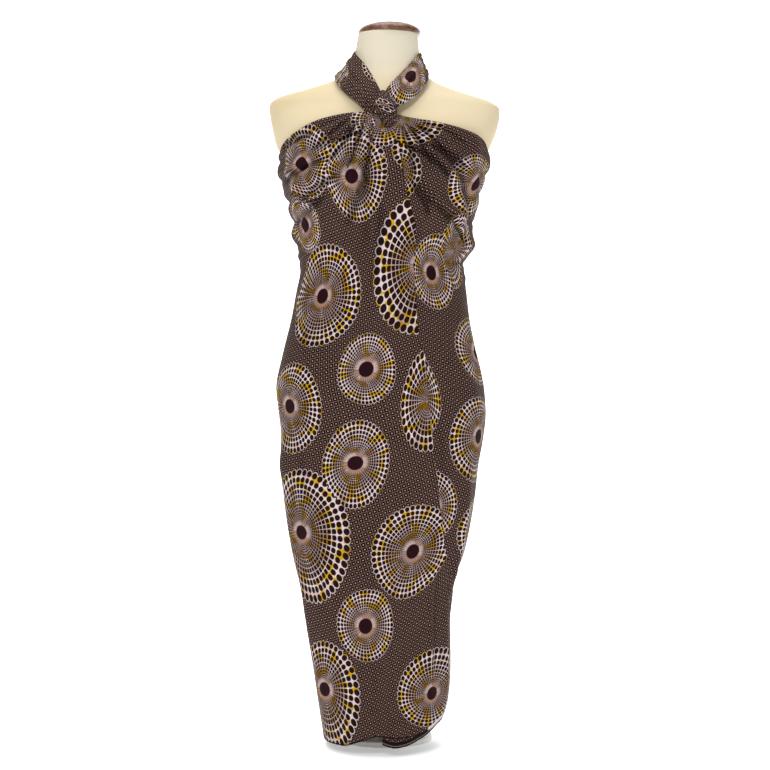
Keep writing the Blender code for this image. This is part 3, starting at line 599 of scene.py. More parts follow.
# Columns: middle, half sizes, tilt, place of the disc, size of the disc, spokes
STRAP_ROUNDELS = (
    ((3.051, 3.477), (0.050, 0.042), 0.3, (0.10, 0.0), 1.0, 48),
    ((3.056, 3.011), (0.026, 0.024), 0.0, (0.0, 0.0), 0.0, 18),
    ((3.112, 2.950), (0.032, 0.026), 0.2, (0.6, 0.0), 0.0, 40),
    ((5.0380, 2.9900), (0.0135, 0.0110), 0.0, (0.0, 0.0), 0.0, 7),
    ((3.225, 3.480), (0.036, 0.030), 0.0, (0.1, 0.1), 1.0, 40),
    ((3.235, 2.985), (0.036, 0.030), 0.0, (0.1, 0.1), 1.0, 40),
    ((3.040, 3.930), (0.036, 0.040), 0.0, (0.1, 0.1), 1.0, 40),
    ((3.060, 4.430), (0.034, 0.036), 0.0, (-0.1, 0.1), 1.0, 40),
)

# The print's ground: how wide a mesh is, and from the middle of a mesh, in shares of it, where its
# dot ends and its line starts
GRID_PITCH = 0.0080
GRID_DOT_EDGE = (0.070, 0.120)
GRID_LINE_EDGE = (0.425, 0.465)

# Inside a roundel, the way from the disc's edge to where the pale hairlines fade into dots
DISC_RADIUS = 0.0115
DISC_EDGE = 0.0012
HAIRLINE_FADE = (0.0030, 0.0110)
HAIRLINES = 13.0
HAIRLINE_EDGE = (0.30, 0.80)
GLOW_FREQUENCY = 1.3
GLOW_EDGE = (0.54, 0.64)
GLOW_SHARE = 0.45
# The dots, in shares of a cell: their size at the rim and further in, and their soft edge
DOT_SIZE_RIM = 0.430
DOT_SIZE_INNER = 0.425
DOT_RINGS = (0.5, 4.0)
DOT_SOFT = 0.03
DOT_SQUARE_EDGE = (0.55, 0.90)
# The rim of a roundel: its body, and the round dots that stand out from it
BODY_EDGE = (0.15, 0.30)
RIM_DOT_EDGE = (0.49, 0.55)
# Patches of yellow, and of warm brown between the disc and the rim
YELLOW_FREQUENCY = 70.0
YELLOW_EDGE = (0.535, 0.575)
SWIRL_REACH = 1.6
WARM_FREQUENCY = 1.7
WARM_EDGE = (0.50, 0.68)
WARM_REACH = (0.35, 0.90)
WARM_LEAD = 0.14
WARM_SHARE = 0.5

# The dark band above the under layer's hem, painted shade where it shows below the outer layer, with
# its grey line; the thin dark edge along the other hems; and the unprinted selvedge at the lower right
HEM_SHADE_BAND = 0.0095
PLAIN_BAND = 0.0015
BAND_SOFT = 0.0008
BAND_LINE = 0.0034
BAND_LINE_HALF = 0.0006
SELVEDGE_START = 0.068
SELVEDGE_SOFT = 0.002
SELVEDGE_WIDTH = 0.0055
SELVEDGE_EDGE = 0.0005

# The cloth's painted shade in the creases, and its finish: its uneven tone, its threads and seams
TROUGH_START = 0.0004
TROUGH_FULL = 0.0042
TROUGH_SHADE = 0.55
TONE_FREQUENCY = 14.0
TONE_SWING = 0.22
TONE_BASE = 0.89
COTTON_ROUGHNESS = 0.62
COTTON_ROUGHNESS_SWING = 0.18
COTTON_SPECULAR = 0.06
THREAD_PITCH = 0.0007
THREAD_HIGH = 0.00005
RUMPLE_FREQUENCY = 55.0
RUMPLE_HIGH = 0.0012
STITCH_PLACE = HEM_WIDTH * 0.85
STITCH_HALF = 0.0005
STITCH_DEEP = -0.0003

# The jersey on the form, paler up the neck
NECK_PALE_START = 1.06
NECK_PALE_FULL = 1.13
NECK_PALE_SHARE = 0.8
RIB_PITCH = 0.0012
RIB_HIGH = 0.00006

# How much finer the wood's grain is to each side and upwards than from front to back
WOOD_STRETCH = (60.0, 9.0, 60.0)

# Studio: a floor that curves up into a wall behind
FLOOR_HALF = 7.0
FLOOR_FRONT = -6.0
FLOOR_BEND = 2.5
BEND_RADIUS = 1.5
BEND_STEPS = 13
WALL_TOP = 6.0
FLOOR_WHITE = 0.90
FLOOR_GLOW = 0.40
SURROUND = 0.24
# Columns: name, place, aim, watts, size
LIGHTS = (
    ("key", (-0.9, -2.6, 2.4), (0.0, 0.0, 0.75), 37.0, 0.6),
    ("fill", (1.5, -2.5, 1.0), (0.0, 0.0, 0.6), 11.0, 1.0),
    ("floor", (0.0, 0.2, 4.2), (0.0, 0.6, 0.0), 110.0, 3.2),
    ("wall", (0.0, 0.9, 2.4), (0.0, 3.6, 1.0), 170.0, 2.4),
)


def curve(rows, at):
    """The other columns of a table where its first column is at, on a curve that never overshoots."""
    table = np.array(sorted(rows), dtype=float)
    places = table[:, 0]
    values = table[:, 1:]
    span = np.diff(places)
    slope = np.diff(values, axis=0) / span[:, None]
    product = slope[:-1] * slope[1:]
    total = np.where(product > 0, slope[:-1] + slope[1:], 1.0)
    middle = np.where(product > 0, 2 * product / total, 0.0)
    tangent = np.vstack([slope[:1], middle, slope[-1:]])
    at = np.clip(np.asarray(at, dtype=float), places[0], places[-1])
    index = np.clip(np.searchsorted(places, at, side="right") - 1, 0, len(span) - 1)
    reach = span[index][..., None]
    t = ((at - places[index]) / span[index])[..., None]
    rise = (2 * t**3 - 3 * t**2 + 1) * values[index] + (3 * t**2 - 2 * t**3) * values[index + 1]
    bend = (t**3 - 2 * t**2 + t) * tangent[index] + (t**3 - t**2) * tangent[index + 1]
    return rise + bend * reach


def signed_power(value, power):
    """The power of the value's size, with the value's sign."""
    return np.copysign(np.abs(value) ** power, value)


def ramp(value, low, high):
    """0 below low, 1 above high and smooth between them."""
    share = np.clip((value - low) / (high - low), 0.0, 1.0)
    return share * share * (3.0 - 2.0 * share)


def half_turn(turn):
    """The same turn, counted from -180 to 180."""
    return (np.asarray(turn) + 180.0) % 360.0 - 180.0


def figure(height, turn):
    """Points of the figure's surface with their outward directions and slack."""
    height, turn = np.broadcast_arrays(np.asarray(height, dtype=float), np.asarray(turn, dtype=float))
    left, right, front, back, square, slack = np.moveaxis(curve(FIGURE, height), -1, 0)
    sine = np.sin(np.radians(turn))
    cosine = np.cos(np.radians(turn))
    half = np.where(sine > 0, right, left)
    deep = np.where(cosine > 0, front, back)
    x = half * signed_power(sine, 2 / square)
    y = -deep * signed_power(cosine, 2 / square)
    out_x = signed_power(x / half, square - 1) / half
    out_y = signed_power(y / deep, square - 1) / deep
    out = np.stack([out_x, out_y, np.zeros_like(out_x)], axis=-1)
    out /= np.linalg.norm(out, axis=-1, keepdims=True)
    swell = np.zeros_like(x)
    for across, middle, wide, tall, depth in CUPS:
        away = ((x - across) / wide) ** 2 + ((height - middle) / tall) ** 2
        swell += depth * np.exp(-away) * np.clip(cosine, 0.0, None)
    point = np.stack([x, y, height], axis=-1) + out * swell[..., None]
    return point, out, slack


def relief(height, turn, folds):
    """How far the folds lift the cloth."""
    total = np.zeros(np.broadcast(height, turn).shape)
    turn = half_turn(turn)
    for turn1, height1, turn2, height2, bow, wide, high in folds:
        for lap in (-360.0, 0.0, 360.0):
            start_x = MAP_RADIUS * math.radians(turn1 + lap)
            end_x = MAP_RADIUS * math.radians(turn2 + lap)
            reach = math.hypot(end_x - start_x, height2 - height1)
            along_x = (end_x - start_x) / reach
            along_z = (height2 - height1) / reach
            from_x = MAP_RADIUS * np.radians(turn) - start_x
            from_z = height - height1
            share = (from_x * along_x + from_z * along_z) / reach
            aside = along_x * from_z - along_z * from_x
            aside = aside - bow * np.sin(np.pi * np.clip(share, 0.0, 1.0))
            ends = ramp(share, *FOLD_ENDS) * ramp(1.0 - share, *FOLD_ENDS)
            total += high * ends * np.exp(-((aside / wide) ** 2))
    return total


def cloth_points(height, turn, lift):
    """Points of the cloth at a lift off its inner face, with its troughs kept clear of the form."""
    point, out, slack = figure(height, turn)
    fold = relief(height, turn, FOLDS) + relief(height, turn, CREASES)
    chest = ramp(height, CHEST_START, CHEST_FULL)
    bust = chest * ramp(-np.abs(half_turn(turn)), -BUST_START, -BUST_FULL)
    fold = fold * (1.0 + BUST_FOLDS * bust) + CHEST_LOOSE * chest + BUST_LOOSE * bust
    fold = np.maximum(fold, TOUCH_GAP - slack)
    return point + out * (fold + lift)[..., None]


def make_arc_table():
    """For each turn, the way round the body from the middle of the back at one height, and the
    slope and the rise of the cloth's rows there."""
    turns = np.arange(-60.0, 481.0, 1.0)
    points = figure(np.full_like(turns, LAY_HEIGHT), turns)[0]
    steps = np.linalg.norm(np.diff(points, axis=0), axis=1)
    lengths = np.concatenate([[0.0], np.cumsum(steps)])
    lengths = lengths - np.interp(BACK_MIDDLE, turns, lengths)
    slopes = curve(ROW_SLOPE, lengths)[:, 0]
    climbs = (slopes[1:] + slopes[:-1]) / 2 * np.diff(lengths)
    rises = np.concatenate([[0.0], np.cumsum(climbs)])
    rises = rises - np.interp(BACK_MIDDLE, turns, rises)
    return turns, lengths, slopes, rises


ARC_TURNS, ARC_LENGTHS, ARC_SLOPES, ARC_RISES = make_arc_table()


def cloth_map(height, turn):
    """The cloth's own coordinates in metres: across from the middle of the back, and up."""
    way = np.interp(turn, ARC_TURNS, ARC_LENGTHS)
    slope = np.interp(turn, ARC_TURNS, ARC_SLOPES)
    rise = np.interp(turn, ARC_TURNS, ARC_RISES)
    spread, share = np.moveaxis(curve(LAY, height), -1, 0)
    above = curve(LAY, np.asarray(height) + LAY_STEP)[..., 0]
    below = curve(LAY, np.asarray(height) - LAY_STEP)[..., 0]
    narrowing = (above - below) / (2 * LAY_STEP)
    across = way * spread + LEAN_SHARE * share * slope * (height - LAY_HEIGHT)
    up = height - narrowing * spread * way**2 / 2 - share * rise
    return np.stack([across, up], axis=-1)


def add_mesh(name, points, faces, maps):
    """An object from points and faces, with a UV map for each entry of maps, given by point."""
    mesh = bpy.data.meshes.new(name)
    mesh.from_pydata(points, [], faces)
    corners = np.empty(len(mesh.loops), dtype=int)
    mesh.loops.foreach_get("vertex_index", corners)
    for label, places in maps.items():
        layer = mesh.uv_layers.new(name=label)
        layer.uv.foreach_set("vector", np.asarray(places, dtype=np.float32)[corners].ravel())
    mesh.shade_smooth()
    made = bpy.data.objects.new(name, mesh)
    bpy.context.scene.collection.objects.link(made)
    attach(made, "root")
    return made


def add_sheet(name, outer, inner, maps):
    """A closed sheet between two grids of points."""
    rows, columns = outer.shape[:2]
    count = rows * columns
    index = np.arange(count).reshape(rows, columns)
    quads = np.stack([index[:-1, :-1], index[:-1, 1:], index[1:, 1:], index[1:, :-1]], axis=-1)
    front = quads.reshape(-1, 4)
    back = front[:, ::-1] + count
    rim = np.concatenate([index[0, :], index[1:, -1], index[-1, -2::-1], index[-2:0:-1, 0]])
    after = np.roll(rim, -1)
    sides = np.stack([after, rim, rim + count, after + count], axis=-1)
    points = np.concatenate([outer.reshape(-1, 3), inner.reshape(-1, 3)])
    flat = {label: np.tile(places.reshape(-1, 2), (2, 1)) for label, places in maps.items()}
    faces = np.concatenate([front, back, sides])
    made = add_mesh(name, points.tolist(), faces.tolist(), flat)
    made.data.set_sharp_from_angle(angle=RIM_CREASE)
    return made


def ring_faces(rings, around):
    """Quads between rings of points, and one face across each end."""
    index = np.arange(rings * around).reshape(rings, around)
    beside = np.roll(index, -1, axis=1)
    quads = np.stack([index[:-1], beside[:-1], beside[1:], index[1:]], axis=-1).reshape(-1, 4)
    return quads.tolist() + [index[0][::-1].tolist(), index[-1].tolist()]


def add_rings(name, rings):
    """A closed body through rings of points."""
    count, around = rings.shape[:2]
    turn = np.linspace(0.0, 1.0, around)[None, :] * np.ones((count, 1))
    flat = np.stack([turn, rings[..., 2]], axis=-1).reshape(-1, 2)
    faces = ring_faces(count, around)
    made = add_mesh(name, rings.reshape(-1, 3).tolist(), faces, {"surface": flat})
    made.data.set_sharp_from_angle(angle=RING_CREASE)
    return made


def row_shares():
    """The share of the way down of each row, closer over the chest."""
    part = np.linspace(0.0, 1.0, ROWS + 1)
    near = part * CHEST_HEIGHT_SHARE / CHEST_ROW_SHARE
    rest = (part - CHEST_ROW_SHARE) / (1.0 - CHEST_ROW_SHARE)
    far = CHEST_HEIGHT_SHARE + (1.0 - CHEST_HEIGHT_SHARE) * rest
    return np.where(part <= CHEST_ROW_SHARE, near, far)[:, None]


def hem_rise(edges):
    """How far the turned hem at the free edge and at the top stands up."""
    way = edges[..., 0]
    return HEM_RISE * (1.0 - ramp(way, HEM_WIDTH * (1.0 - HEM_SOFT), HEM_WIDTH * (1.0 + HEM_SOFT)))


def make_stretch(name, turn, hem, lift=0.0, lap=0.0, free=FAR_FROM_EDGE):
    """One stretch of the cloth from a grid of turns, from the upper edge down to its hem.

    It lies at a lift off the form, its turns in the whole cloth are lap more, and free is the way
    to its free edge.
    """
    top = curve(TOP_EDGE, half_turn(turn))[..., 0]
    bottom = curve(hem, turn)[..., 0]
    height = top + (bottom - top) * row_shares()
    turn = turn + lap
    edges = np.stack([np.minimum(free, top - height), height - bottom], axis=-1)
    inner = cloth_points(height, turn, lift + CLOTH_INSET)
    outer = cloth_points(height, turn, lift + CLOTH_INSET + CLOTH + hem_rise(edges))
    # The creases' depth, kept for the material's painted shade in their troughs
    crease = relief(height, turn, CREASES)
    creases = np.stack([crease, np.zeros_like(crease)], axis=-1)
    maps = {"print": cloth_map(height, turn), "edges": edges, "creases": creases}
    return add_sheet(name, outer, inner, maps)


def free_turn(share):
    """The turn of the free edge at a share of the way down."""
    top = curve(TOP_EDGE, 0.0)[0]
    bottom = curve(OVER_HEM, 0.0)[0]
    return curve(FREE_EDGE, top * (1.0 - share) + bottom * share)[..., 0]


def build_over_panel():
    """The outer layer, from the left side over the hidden edge to the free edge."""
    start = LEFT_SIDE - 360.0
    edge = free_turn(row_shares())
    cell = np.linspace(0.0, 1.0, OVER_CELLS + 1)[None, :]
    turn = start + (edge - start) * cell
    lift = (WALL + LAYER_GAP) * ramp(cell, RISE_START, RISE_END)
    free = (edge - turn) * math.radians(1.0) * MAP_RADIUS
    return make_stretch("cloth_over_panel", turn, OVER_HEM, lift, 360.0, free)


def build_under_panel():
    """The inner layer, from its hidden edge past the free edge to the right side."""
    start = LEFT_SIDE - 360.0
    free_edge = free_turn(row_shares())
    hidden_edge = start + (free_edge - start) * HIDDEN_SHARE
    edge = np.minimum(free_edge, LAST_FREE_EDGE)
    hidden = np.linspace(0.0, 1.0, UNDER_HIDDEN_CELLS + 1)[None, :-1]
    shown = np.linspace(0.0, 1.0, UNDER_CELLS + 1)[None, :]
    turn = np.hstack([hidden_edge + (edge - hidden_edge) * hidden, edge + (RIGHT_SIDE - edge) * shown])
    return make_stretch("cloth_under_panel", turn, UNDER_HEM)


def build_back():
    """The stretch round the back, from the right side to the left side."""
    turn = np.linspace(RIGHT_SIDE, LEFT_SIDE, BACK_CELLS + 1)[None, :]
    return make_stretch("cloth_back", turn * np.ones((ROWS + 1, 1)), BACK_HEM)


def curve_rows(rows, shares):
    """The columns of a table at shares of the way through its rows."""
    numbered = [(float(index), *row) for index, row in enumerate(rows)]
    return curve(numbered, shares * (len(rows) - 1))


def seated(points):
    """The points, or the nearest ones level with them that are clear of the form."""
    left, right, front, back, square, slack = np.moveaxis(curve(FIGURE, points[..., 2]), -1, 0)
    half = np.where(points[..., 0] > 0, right, left) - slack + STRAP_GAP
    deep = np.where(points[..., 1] < 0, front, back) - slack + STRAP_GAP
    reach = np.abs(points[..., 0] / half) ** square + np.abs(points[..., 1] / deep) ** square
    reach = np.maximum(reach ** (1 / square), 1e-6)
    scale = np.where(reach < 1.0, 1.0 / reach, 1.0)
    return points * np.stack([scale, scale, np.ones_like(scale)], axis=-1)


def grid_normals(grid, away_from):
    """The directions across a grid of points, on the side away from a point."""
    down = np.gradient(grid, axis=0)
    over = np.gradient(grid, axis=1)
    normal = np.cross(down, over)
    normal /= np.maximum(np.linalg.norm(normal, axis=-1, keepdims=True), 1e-9)
    middle = (grid.shape[0] // 2, grid.shape[1] // 2)
    facing = np.dot(normal[middle], grid[middle] - np.array(away_from))
    return normal if facing > 0 else -normal


def ribbon_map(grid, offset):
    """A strip's own coordinates in metres: along it, and across from its upper edge."""
    along = np.linalg.norm(np.diff(grid, axis=0), axis=-1)[:, grid.shape[1] // 2]
    along = np.concatenate([[0.0], np.cumsum(along)])[:, None] * np.ones(grid.shape[1])
    across = np.linalg.norm(np.diff(grid, axis=1), axis=-1)
    across = np.concatenate([np.zeros((grid.shape[0], 1)), np.cumsum(across, axis=1)], axis=1)
    return np.stack([along + offset[0], offset[1] - across], axis=-1)


def build_ribbon(name, inner, away_from, thick, offset):
    """A closed strip of cloth on its inner points."""
    normal = grid_normals(inner, away_from)
    outer = inner + normal * thick
    edges = np.full((*inner.shape[:2], 2), FAR_FROM_EDGE)
    maps = {"print": ribbon_map(inner, offset), "edges": edges}
    down = np.cross(np.gradient(outer, axis=0), np.gradient(outer, axis=1))
    middle = (inner.shape[0] // 2, inner.shape[1] // 2)
    if np.dot(down[middle], normal[middle]) > 0:
        outer = outer[:, ::-1]
        inner = inner[:, ::-1]
        maps = {label: places[:, ::-1] for label, places in maps.items()}
    return add_sheet(name, outer, inner, maps)


def build_strap(name, rows, offset, phase):
    """A strap from the crossing to the knot, with soft uneven pleats along it.

    The phase, in radians, makes its pleats differ from the other strap's.
    """
    axis = (*CAP_CENTRE, NECK_HEIGHT)
    shares = np.linspace(0.0, 1.0, STRAP_ALONG + 1)
    values = curve_rows(rows, shares)
    across = np.linspace(0.0, 1.0, STRAP_ACROSS + 1)[None, :, None]
    top = values[:, None, 0:3]
    low = values[:, None, 3:6]
    puff = values[:, None, 6]
    points = top * (1.0 - across) + low * across
    out = points - np.array(axis)
    out[..., 2] = 0.0
    out /= np.linalg.norm(out, axis=-1, keepdims=True)
    across = across[..., 0]
    drift = PLEAT_DRIFT * np.sin(shares[:, None] * PLEAT_DRIFT_REACH + phase)
    pleat = np.zeros_like(points[..., 0])
    for place, wide, high in STRAP_PLEATS:
        wave = np.sin(shares[:, None] * PLEAT_SWING_REACH + phase + place * PLEAT_SHIFT)
        swing = high * (PLEAT_STEADY + PLEAT_SWING * wave)
        pleat += swing * np.exp(-(((across - place - drift) / wide) ** 2))
    crown = np.sin(np.pi * across)
    lift = puff * crown + pleat * ramp(crown, 0.0, PLEAT_FADE)
    inner = seated(points + out * lift[..., None])
    return build_ribbon(name, inner, axis, STRAP_CLOTH, offset)


def build_bundle(name, rows, offset, folds, winding, depth):
    """Gathered cloth as one rounded body, with deep uneven folds that wind round it.

    The winding is in radians from end to end, and the depth is a share of the body's own size.
    """
    shares = np.linspace(0.0, 1.0, BUNDLE_RINGS + 1)
    height, across, middle, half_width, half_depth = np.moveaxis(curve_rows(rows, shares), -1, 0)
    angle = np.linspace(0.0, 2 * np.pi, BUNDLE_AROUND, endpoint=False)[None, :]
    wind = angle + winding * (shares[:, None] - 0.5)
    ridge = np.abs(np.cos(wind * folds / 2)) ** RIDGE_SHARPNESS - RIDGE_MIDDLE
    fine = FINE_FOLDS * np.cos(wind * folds * 2 + FINE_DRIFT * np.sin(wind * 2))
    swell = 1.0 + depth * (ridge + fine)
    x = across[:, None] + half_width[:, None] * swell * np.cos(angle)
    y = middle[:, None] + half_depth[:, None] * swell * np.sin(angle)
    z = np.broadcast_to(height[:, None], x.shape)
    points = np.stack([x, y, z], axis=-1).reshape(-1, 3)
    way = np.broadcast_to((angle - np.pi / 2) % (2 * np.pi) * BUNDLE_MAP_RADIUS, x.shape)
    flat = np.stack([offset[0] + way, offset[1] + z - height[0] + BUNDLE_LEAN * way], axis=-1)
    maps = {"print": flat.reshape(-1, 2), "edges": np.full((x.size, 2), FAR_FROM_EDGE)}
    return add_mesh(name, points.tolist(), ring_faces(*x.shape), maps)


def build_end(name, rows, offset, phase):
    """One end of the cloth, hanging down the back from the knot."""
    shares = np.linspace(0.0, 1.0, END_ALONG + 1)
    height, across, depth, half_width = np.moveaxis(curve_rows(rows, shares), -1, 0)
    place = np.linspace(0.0, 1.0, END_ACROSS + 1)[None, :]
    pleat = END_PLEAT_HIGH * np.cos(2 * np.pi * END_PLEATS * place)
    crease = np.sin(place * END_CREASES + phase + END_CREASE_DRIFT * shares[:, None])
    x = across[:, None] + half_width[:, None] * (2 * place - 1)
    y = depth[:, None] + pleat + END_CREASE_HIGH * crease
    z = height[:, None] + END_HEM_HIGH * np.sin(place * END_HEM_WAVES + phase)
    inner = np.stack([x, y, z * np.ones_like(x)], axis=-1)
    return build_ribbon(name, inner, (0.0, 0.0, 1.0), CLOTH, offset)


def build_form():
    """The padded torso with its neck, finer than the solid."""
    heights = np.concatenate([np.linspace(low, high, count) for low, high, count in FORM_RINGS])
    turns = np.linspace(0.0, 360.0, FORM_AROUND, endpoint=False)
    point, out, slack = figure(heights[:, None], turns[None, :])
    rings = point - out * slack[..., None]
    lowest = rings[0]
    rounding = []
    for angle in np.radians(np.linspace(*FORM_ROUNDING)):
        share = 1.0 - FORM_TUCK * (1.0 - math.cos(angle))
        ring = lowest * np.array([share, share, 1.0])
        ring[:, 2] = FORM_BOTTOM - FORM_DROP * math.sin(angle)
        rounding.append(ring)
    rings = np.concatenate([np.array(rounding), rings])
    return add_rings("form_body", rings)


def build_cap():
    """The turned wooden cap, with a bead round its rim and a shallow dome."""
    profile = [(CAP_RADIUS - inset, CAP_BOTTOM + rise) for inset, rise in CAP_BEAD]
    low = CAP_BOTTOM + CAP_RIM
    for angle in np.radians(np.linspace(*CAP_DOME)):
        profile.append((CAP_RADIUS * math.cos(angle), low + (CAP_TOP - low) * math.sin(angle)))
    turns = np.linspace(0.0, 2 * np.pi, CAP_AROUND, endpoint=False)
    rings = []
    for radius, height in profile:
        x = CAP_CENTRE[0] + radius * np.cos(turns)
        y = CAP_CENTRE[1] + radius * np.sin(turns)
        rings.append(np.stack([x, y, np.full_like(x, height)], axis=-1))
    return add_rings("neck_cap", np.array(rings))


class Shader:
    """Short names for the nodes of one material."""

    def __init__(self, name):
        self.material = bpy.data.materials.new(name)
        self.material.use_nodes = True
        self.tree = self.material.node_tree
        self.principled = self.tree.nodes["Principled BSDF"]

    def put(self, socket, value):
        """Links a node's output to a socket, or sets the socket to a number or colour."""
        if isinstance(value, bpy.types.NodeSocket):
            self.tree.links.new(value, socket)
        else:
            socket.default_value = value

    def math(self, operation, *values, clamp=False):
        """A sum on numbers, with the name that the node gives it."""
        node = self.tree.nodes.new("ShaderNodeMath")
        node.operation = operation
        node.use_clamp = clamp
        for socket, value in zip(node.inputs, values):
            self.put(socket, value)
        return node.outputs[0]

    def times(self, one, two):
        return self.math("MULTIPLY", one, two)

    def rest(self, share):
        """What is left of 1 past the share."""
        return self.math("SUBTRACT", 1.0, share)

    def from_middle(self, share):
        """How far a share is from a half."""
        return self.math("ABSOLUTE", self.math("SUBTRACT", share, 0.5))

    def vector(self, operation, *values):
        """A sum on vectors, with the name that the node gives it."""
        node = self.tree.nodes.new("ShaderNodeVectorMath")
        node.operation = operation
        for socket, value in zip(node.inputs, values):
            self.put(socket, value)
        return node.outputs["Value" if operation == "LENGTH" else "Vector"]

    def mix(self, kind, factor, one, two):
        """A mix of two colours (RGBA), vectors (VECTOR) or numbers (FLOAT)."""
        node = self.tree.nodes.new("ShaderNodeMix")
        node.data_type = kind
        first = {"FLOAT": 2, "VECTOR": 4, "RGBA": 6}[kind]
        self.put(node.inputs[0], factor)
        self.put(node.inputs[first], one)
        self.put(node.inputs[first + 1], two)
        return node.outputs[{"FLOAT": 0, "VECTOR": 1, "RGBA": 2}[kind]]

    def blend(self, share, one, two):
        """A colour that goes from one to two as the share rises."""
        return self.mix("RGBA", share, one, two)

    def scaled(self, vector, factor):
        """The vector times one number."""
        node = self.tree.nodes.new("ShaderNodeVectorMath")
        node.operation = "SCALE"
        self.put(node.inputs[0], vector)
        self.put(node.inputs["Scale"], factor)
        return node.outputs["Vector"]

    def parts(self, vector):
        node = self.tree.nodes.new("ShaderNodeSeparateXYZ")
        self.put(node.inputs[0], vector)
        return node.outputs[0], node.outputs[1], node.outputs[2]

    def join(self, x, y, z=0.0):
        node = self.tree.nodes.new("ShaderNodeCombineXYZ")
        for socket, value in zip(node.inputs, (x, y, z)):
            self.put(socket, value)
        return node.outputs[0]

    def uv(self, label):
        node = self.tree.nodes.new("ShaderNodeUVMap")
        node.uv_map = label
        return node.outputs[0]

    def place(self):
        """The point's place on the object, in metres."""
        return self.tree.nodes.new("ShaderNodeTexCoord").outputs["Object"]

    def noise(self, vector, scale, detail):
        node = self.tree.nodes.new("ShaderNodeTexNoise")
        self.put(node.inputs["Vector"], vector)
        node.inputs["Scale"].default_value = scale
        node.inputs["Detail"].default_value = detail
        return node.outputs[0]

    def step(self, value, low, high):
        """0 where value is under low, 1 where it is over high, and smooth between them."""
        node = self.tree.nodes.new("ShaderNodeMapRange")
        node.interpolation_type = "SMOOTHSTEP"
        for socket, number in zip(node.inputs, (value, low, high, 0.0, 1.0)):
            self.put(socket, number)
        return node.outputs[0]

    def bump(self, height, distance, strength, below=None):
        """A relief of this height, on top of the normals below it where they are given."""
        node = self.tree.nodes.new("ShaderNodeBump")
        self.put(node.inputs["Height"], height)
        node.inputs["Distance"].default_value = distance
        node.inputs["Strength"].default_value = strength
        if below is not None:
            self.put(node.inputs["Normal"], below)
        return node.outputs[0]

    def set(self, **values):
        """Sets sockets of the Principled node, named with underscores for spaces."""
        for name, value in values.items():
            self.put(self.principled.inputs[name.replace("_", " ")], value)


def colour(red, green, blue):
    """A linear colour from one written in the usual 0 to 255."""
    values = []
    for part in (red, green, blue):
        share = part / 255.0
        values.append(share / 12.92 if share <= 0.04045 else ((share + 0.055) / 1.055) ** 2.4)
    return (*values, 1.0)


BROWN_DARK = colour(27, 12, 12)
GRID_LINE = colour(118, 92, 85)
GRID_DOT = colour(208, 184, 158)
LILAC_WHITE = colour(214, 194, 194)
LILAC_BROWN = colour(158, 134, 124)
YELLOW = colour(196, 154, 20)
ORANGE_BROWN = colour(136, 88, 50)
DISC_COLOUR = colour(34, 8, 16)
BAND_LINE_GREY = colour(120, 112, 108)
SELVEDGE_COLOUR = colour(206, 200, 196)
JERSEY = colour(224, 208, 174)
JERSEY_SHADE = colour(217, 199, 160)
JERSEY_PALE = colour(222, 215, 196)
WOOD_DARK = colour(84, 50, 32)
WOOD_LIGHT = colour(136, 92, 62)
ENAMEL = colour(236, 236, 232)
ENAMEL_DUST = colour(224, 223, 218)
WHITE = colour(255, 255, 255)


def map_step(height, turn, height_step, turn_step):
    """A step across the print's map for a step on the body, and how far the step on the body is."""
    heights = np.array([height - height_step, height + height_step])
    turns = np.array([turn - turn_step, turn + turn_step])
    on_map = cloth_map(heights, turns)
    on_body = figure(heights, turns)[0]
    return on_map[1] - on_map[0], np.linalg.norm(on_body[1] - on_body[0])


def roundel_places(start, end):
    """The roundels near a stretch of cloth, in the print's own coordinates: the ellipse's middle,
    half sizes and tilt, where in it the disc lies and how large it is, and its rows of dots."""
    places = []
    for turn, height, left, right, up, down, lean, disc_size, spokes in ROUNDELS:
        if not start - ROUNDEL_REACH < turn < end + ROUNDEL_REACH:
            continue
        run, run_length = map_step(height, turn, 0.0, ROUNDEL_TURN_STEP)
        climb, climb_length = map_step(height, turn, ROUNDEL_HEIGHT_STEP, 0.0)
        run_reach = np.linalg.norm(run)
        widening = run_reach / run_length
        heightening = (run[0] * climb[1] - run[1] * climb[0]) / run_reach / climb_length
        tilt = math.atan2(run[1], run[0]) + math.radians(lean)
        half_width = widening * (left + right) / 2
        half_height = heightening * (up + down) / 2
        aside = widening * (right - left) / 2
        above = heightening * (up - down) / 2
        middle = cloth_map(height, turn)
        centre = (
            middle[0] + aside * math.cos(tilt) - above * math.sin(tilt),
            middle[1] + aside * math.sin(tilt) + above * math.cos(tilt),
        )
        disc = (-aside / half_width, -above / half_height)
        places.append((centre, (half_width, half_height), tilt, disc, disc_size, spokes))
    return places


def nearest_roundel(shader, print_map, places):
    """Where the point is in its nearest roundel, as shares of its half sizes, that one's disc and
    spokes, and its half sizes with the disc's radius."""
    best = shader.join(FAR_AWAY, FAR_AWAY)
    best_reach = FAR_AWAY
    best_disc = shader.join(*PLAIN_DISC)
    best_half = shader.join(*PLAIN_HALF)
    for centre, half, tilt, disc, disc_size, spokes in places:
        node = shader.tree.nodes.new("ShaderNodeMapping")
        node.vector_type = "TEXTURE"
        shader.put(node.inputs["Vector"], print_map)
        node.inputs["Location"].default_value = (*centre, 0.0)
        node.inputs["Rotation"].default_value = (0.0, 0.0, tilt)
        node.inputs["Scale"].default_value = (*half, 1.0)
        here = node.outputs[0]
        reach = shader.vector("LENGTH", here)
        nearer = shader.math("LESS_THAN", reach, best_reach)
        best = shader.mix("VECTOR", nearer, best, here)
        best_disc = shader.mix("VECTOR", nearer, best_disc, (*disc, float(spokes)))
        best_half = shader.mix("VECTOR", nearer, best_half, (*half, disc_size * DISC_RADIUS))
        best_reach = shader.math("MINIMUM", reach, best_reach)
    return best, best_reach, best_disc, best_half


